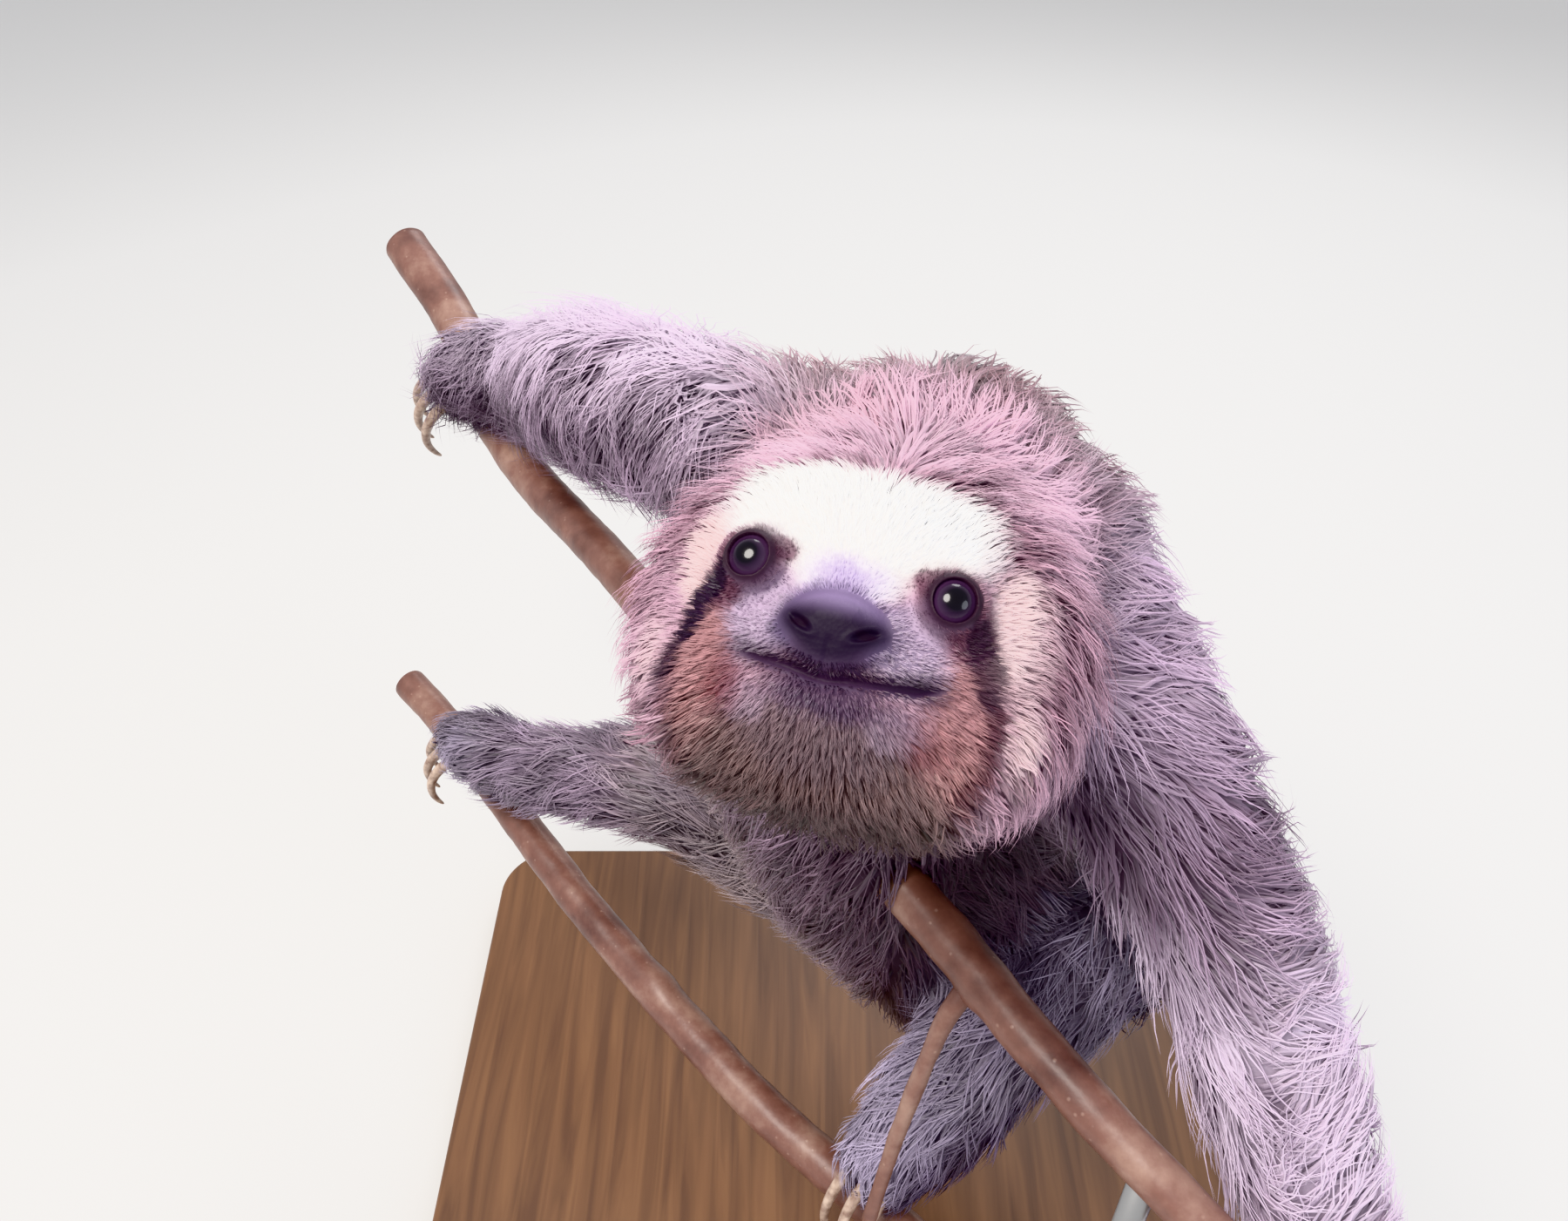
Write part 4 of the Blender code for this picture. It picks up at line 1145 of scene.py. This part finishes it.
def branchMesh(name, stations, sides, knots=()):
    path, radii = smoothPath(stations, branchPlan["step"])
    ahead = unit(np.gradient(path, axis=0))
    side = np.array((0.0, 0.0, 1.0))
    turn = (np.arange(sides) / sides * math.tau)[:, None]
    rings = []
    for place, way, radius in zip(path, ahead, radii):
        side = unit(side - way * (side @ way))
        rings.append(place + (np.cos(turn) * side + np.sin(turn) * np.cross(way, side)) * radius)
    flat = np.concatenate(rings)
    out = unit(flat - np.repeat(path, sides, axis=0))
    lumps = sum(noiseAt(flat, lump, shift) * high * mm for lump, shift, high in branchPlan["lumps"])
    for at, high, wide in knots:
        lumps = lumps + ridge(np.linalg.norm(flat - placed(at), axis=1) / mm, 0, wide, high * mm)
    flat = flat + out * lumps[:, None]
    faces = []
    for i in range((len(path) - 1) * sides):
        m = i + 1 if (i + 1) % sides else i + 1 - sides
        faces.append((i, m, m + sides, i + sides))
    barkFaces = len(faces)
    verts, ringValue = list(flat), [1.0] * len(flat)
    for end in (0, len(path) - 1):
        start, inner = end * sides, len(verts)
        centre = inner + sides
        lid = ahead[end] * (branchPlan["cutRise"] if end else -branchPlan["cutRise"]) * mm
        rim = flat[start:start + sides]
        verts += list(path[end] + (rim - path[end]) * branchPlan["cutShare"] + lid)
        verts.append(path[end] + lid)
        ringValue += [1.0] * sides + [0.0]
        for k in range(sides):
            m = (k + 1) % sides
            quad = (start + k, start + m, inner + m, inner + k)
            fan = (inner + k, inner + m, centre)
            faces += [quad, fan] if end else [quad[::-1], fan[::-1]]
    mesh = bpy.data.meshes.new(name)
    mesh.from_pydata([tuple(v) for v in verts], [], faces)
    mesh.update()
    paintPoints(mesh, "ring", ringValue)
    mesh.materials.append(smoothBark)
    mesh.materials.append(sawnWood)
    sawn = np.arange(len(faces)) >= barkFaces
    mesh.polygons.foreach_set("material_index", sawn.astype(np.int32))
    mesh.polygons.foreach_set("use_smooth", ~sawn)
    made = newObject(name, mesh)
    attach(made, "root")
    return made


upperBranch = branchMesh("perchUpper", branchPlan["upper"], branchPlan["sides"], branchPlan["upperKnots"])
branchMesh("perchTwig", branchPlan["twig"], branchPlan["twigSides"])
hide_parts("branch_upper")
lowerBranch = branchMesh("perchLower", branchPlan["lower"], branchPlan["sides"], branchPlan["lowerKnots"])
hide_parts("branch_lower")
print("branches: two, with a twig", flush=True)

# the stand, in mm
standPlan = {
    "corner": 28.0,
    "cornerSteps": 14,
    "bevel": 2.5,
    "bevelSteps": 4,
    "rodSides": 64,
    "collar": (8.0, 7.2, 3.0),  # radius below and above, and height
}
# hardwood, planed and lacquered to a satin: brown, with the grain running along the plate
lacqueredWood, tree, shader = newMaterial("lacqueredWood", Roughness=0.42, IOR=1.48)
where = addNode(tree, "TexCoord").outputs["Object"]
stretch = addNode(tree, "Mapping", {"Vector": where, "Scale": (1.0, 0.06, 1.0)})
grain = addNode(tree, "TexNoise", {
    "Vector": stretch, "Scale": 1 / (7 * mm), "Detail": 6.0, "Distortion": 0.8})
tone = addNode(tree, "ValToRGB", {"Fac": grain}, stops=((0.32, "#5c4233"), (0.7, "#78573f")))
uneven = addNode(tree, "Bump", {"Height": grain, "Strength": 0.2, "Distance": 0.3 * mm})
setInputs(tree, shader, {"Base Color": tone, "Normal": uneven})
# brushed steel: bright, its fine scratches only softening what it reflects
brushedSteel = newMaterial("brushedSteel", Base_Color=solid("#b9b8b6"), Metallic=1.0, Roughness=0.32)[0]

low, high = (np.array(v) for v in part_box("stand_base"))
baseTop = high[2]
bm = bmesh.new()
bmesh.ops.create_cube(bm, size=1.0)
for vert in bm.verts:
    vert.co = Vector((low + high) / 2 + np.array(vert.co) * (high - low))
upright = [e for e in bm.edges if abs(e.verts[0].co.z - e.verts[1].co.z) > mm]
bmesh.ops.bevel(bm, geom=upright, offset=standPlan["corner"] * mm, segments=standPlan["cornerSteps"],
                profile=0.5, affect="EDGES")
rim = [e for e in bm.edges if all(v.co.z > baseTop - 0.01 * mm for v in e.verts)]
bmesh.ops.bevel(bm, geom=rim, offset=standPlan["bevel"] * mm, segments=standPlan["bevelSteps"],
                profile=0.5, affect="EDGES")
plate = newObject("standPlate", meshFrom(bm, "standPlate"))
plate.data.materials.append(lacqueredWood)
plate.modifiers.new("normals", "WEIGHTED_NORMAL").keep_sharp = True
shade(plate.data, True)
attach(plate, "root")
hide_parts("stand_base")
for word in ("front", "rear"):
    low, high = (np.array(v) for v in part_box("stand_rod_" + word))
    x, y, z = (low + high) / 2
    radius = (high[0] - low[0]) / 2
    wide, narrow, tall = (v * mm for v in standPlan["collar"])
    bm = bmesh.new()
    for lower, upper, depth, at in ((radius, radius, high[2] - low[2], z),
                                    (wide, narrow, tall, baseTop + tall / 2)):
        bmesh.ops.create_cone(bm, cap_ends=True, segments=standPlan["rodSides"], radius1=lower,
                              radius2=upper, depth=depth, matrix=Matrix.Translation((x, y, at)))
    mesh = meshFrom(bm, "rod_" + word)
    for face in mesh.polygons:
        face.use_smooth = abs(face.normal.z) < 0.7
    mesh.materials.append(brushedSteel)
    made = newObject("rod_" + word, mesh)
    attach(made, "root")
    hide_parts("stand_rod_" + word)
print("stand: plate and two rods", flush=True)

# the studio
studioPlan = {
    "floor": 30.0,  # half its width, in metres
    "sky": 0.85,
    "lights": [  # name, place, width, power and colour
        ("keyLight", (-0.5, -0.55, 1.5), 0.8, 26.0, "#fffaf4"),
        ("fillLight", (1.3, -0.9, 0.9), 1.0, 9.0, "#eef2ff"),
        ("rimLight", (0.4, 1.2, 1.3), 0.8, 10.0, "#ffffff"),
    ],
}
# plain pale matt floor
floorPaint = newMaterial("floorPaint", Base_Color=solid("#d9d8d6"), Roughness=0.85)[0]
bm = bmesh.new()
bmesh.ops.create_grid(bm, x_segments=1, y_segments=1, size=studioPlan["floor"])
floor = newObject("studioFloor", meshFrom(bm, "studioFloor"))
floor.data.materials.append(floorPaint)
floor.location.z = -0.2 * mm  # clear of the plate's underside

world = bpy.data.worlds.new("studioSky")
world.use_nodes = True
background = world.node_tree.nodes["Background"]
background.inputs["Color"].default_value = solid("#f1f2f6")
background.inputs["Strength"].default_value = studioPlan["sky"]
bpy.context.scene.world = world
for name, at, size, power, code in studioPlan["lights"]:
    lamp = bpy.data.lights.new(name, "AREA")
    lamp.shape, lamp.size, lamp.energy = "DISK", size, power
    lamp.color = tuple(toLinear(code))
    made = newObject(name, lamp)
    made.location = at
    made.rotation_mode = "QUATERNION"
    made.rotation_quaternion = (Vector(headCentre) - Vector(at)).to_track_quat("-Z", "Y")

# the camera: place in the solids' plan, and degrees down from level
cameraPlan = {"at": (-10, -270, 580), "pitch": 40.0, "lens": 29.0}
lens = bpy.data.cameras.new("viewCamera")
lens.lens, lens.sensor_width = cameraPlan["lens"], 36.0
lens.clip_start, lens.clip_end = 0.01, 50.0
viewCamera = newObject("viewCamera", lens)
viewCamera.location = placed(cameraPlan["at"])
viewCamera.rotation_euler = (math.radians(90 - cameraPlan["pitch"]), 0.0, 0.0)
bpy.context.scene.camera = viewCamera
bpy.context.scene.view_settings.view_transform = "Khronos PBR Neutral"

print("studio: lights and camera", flush=True)
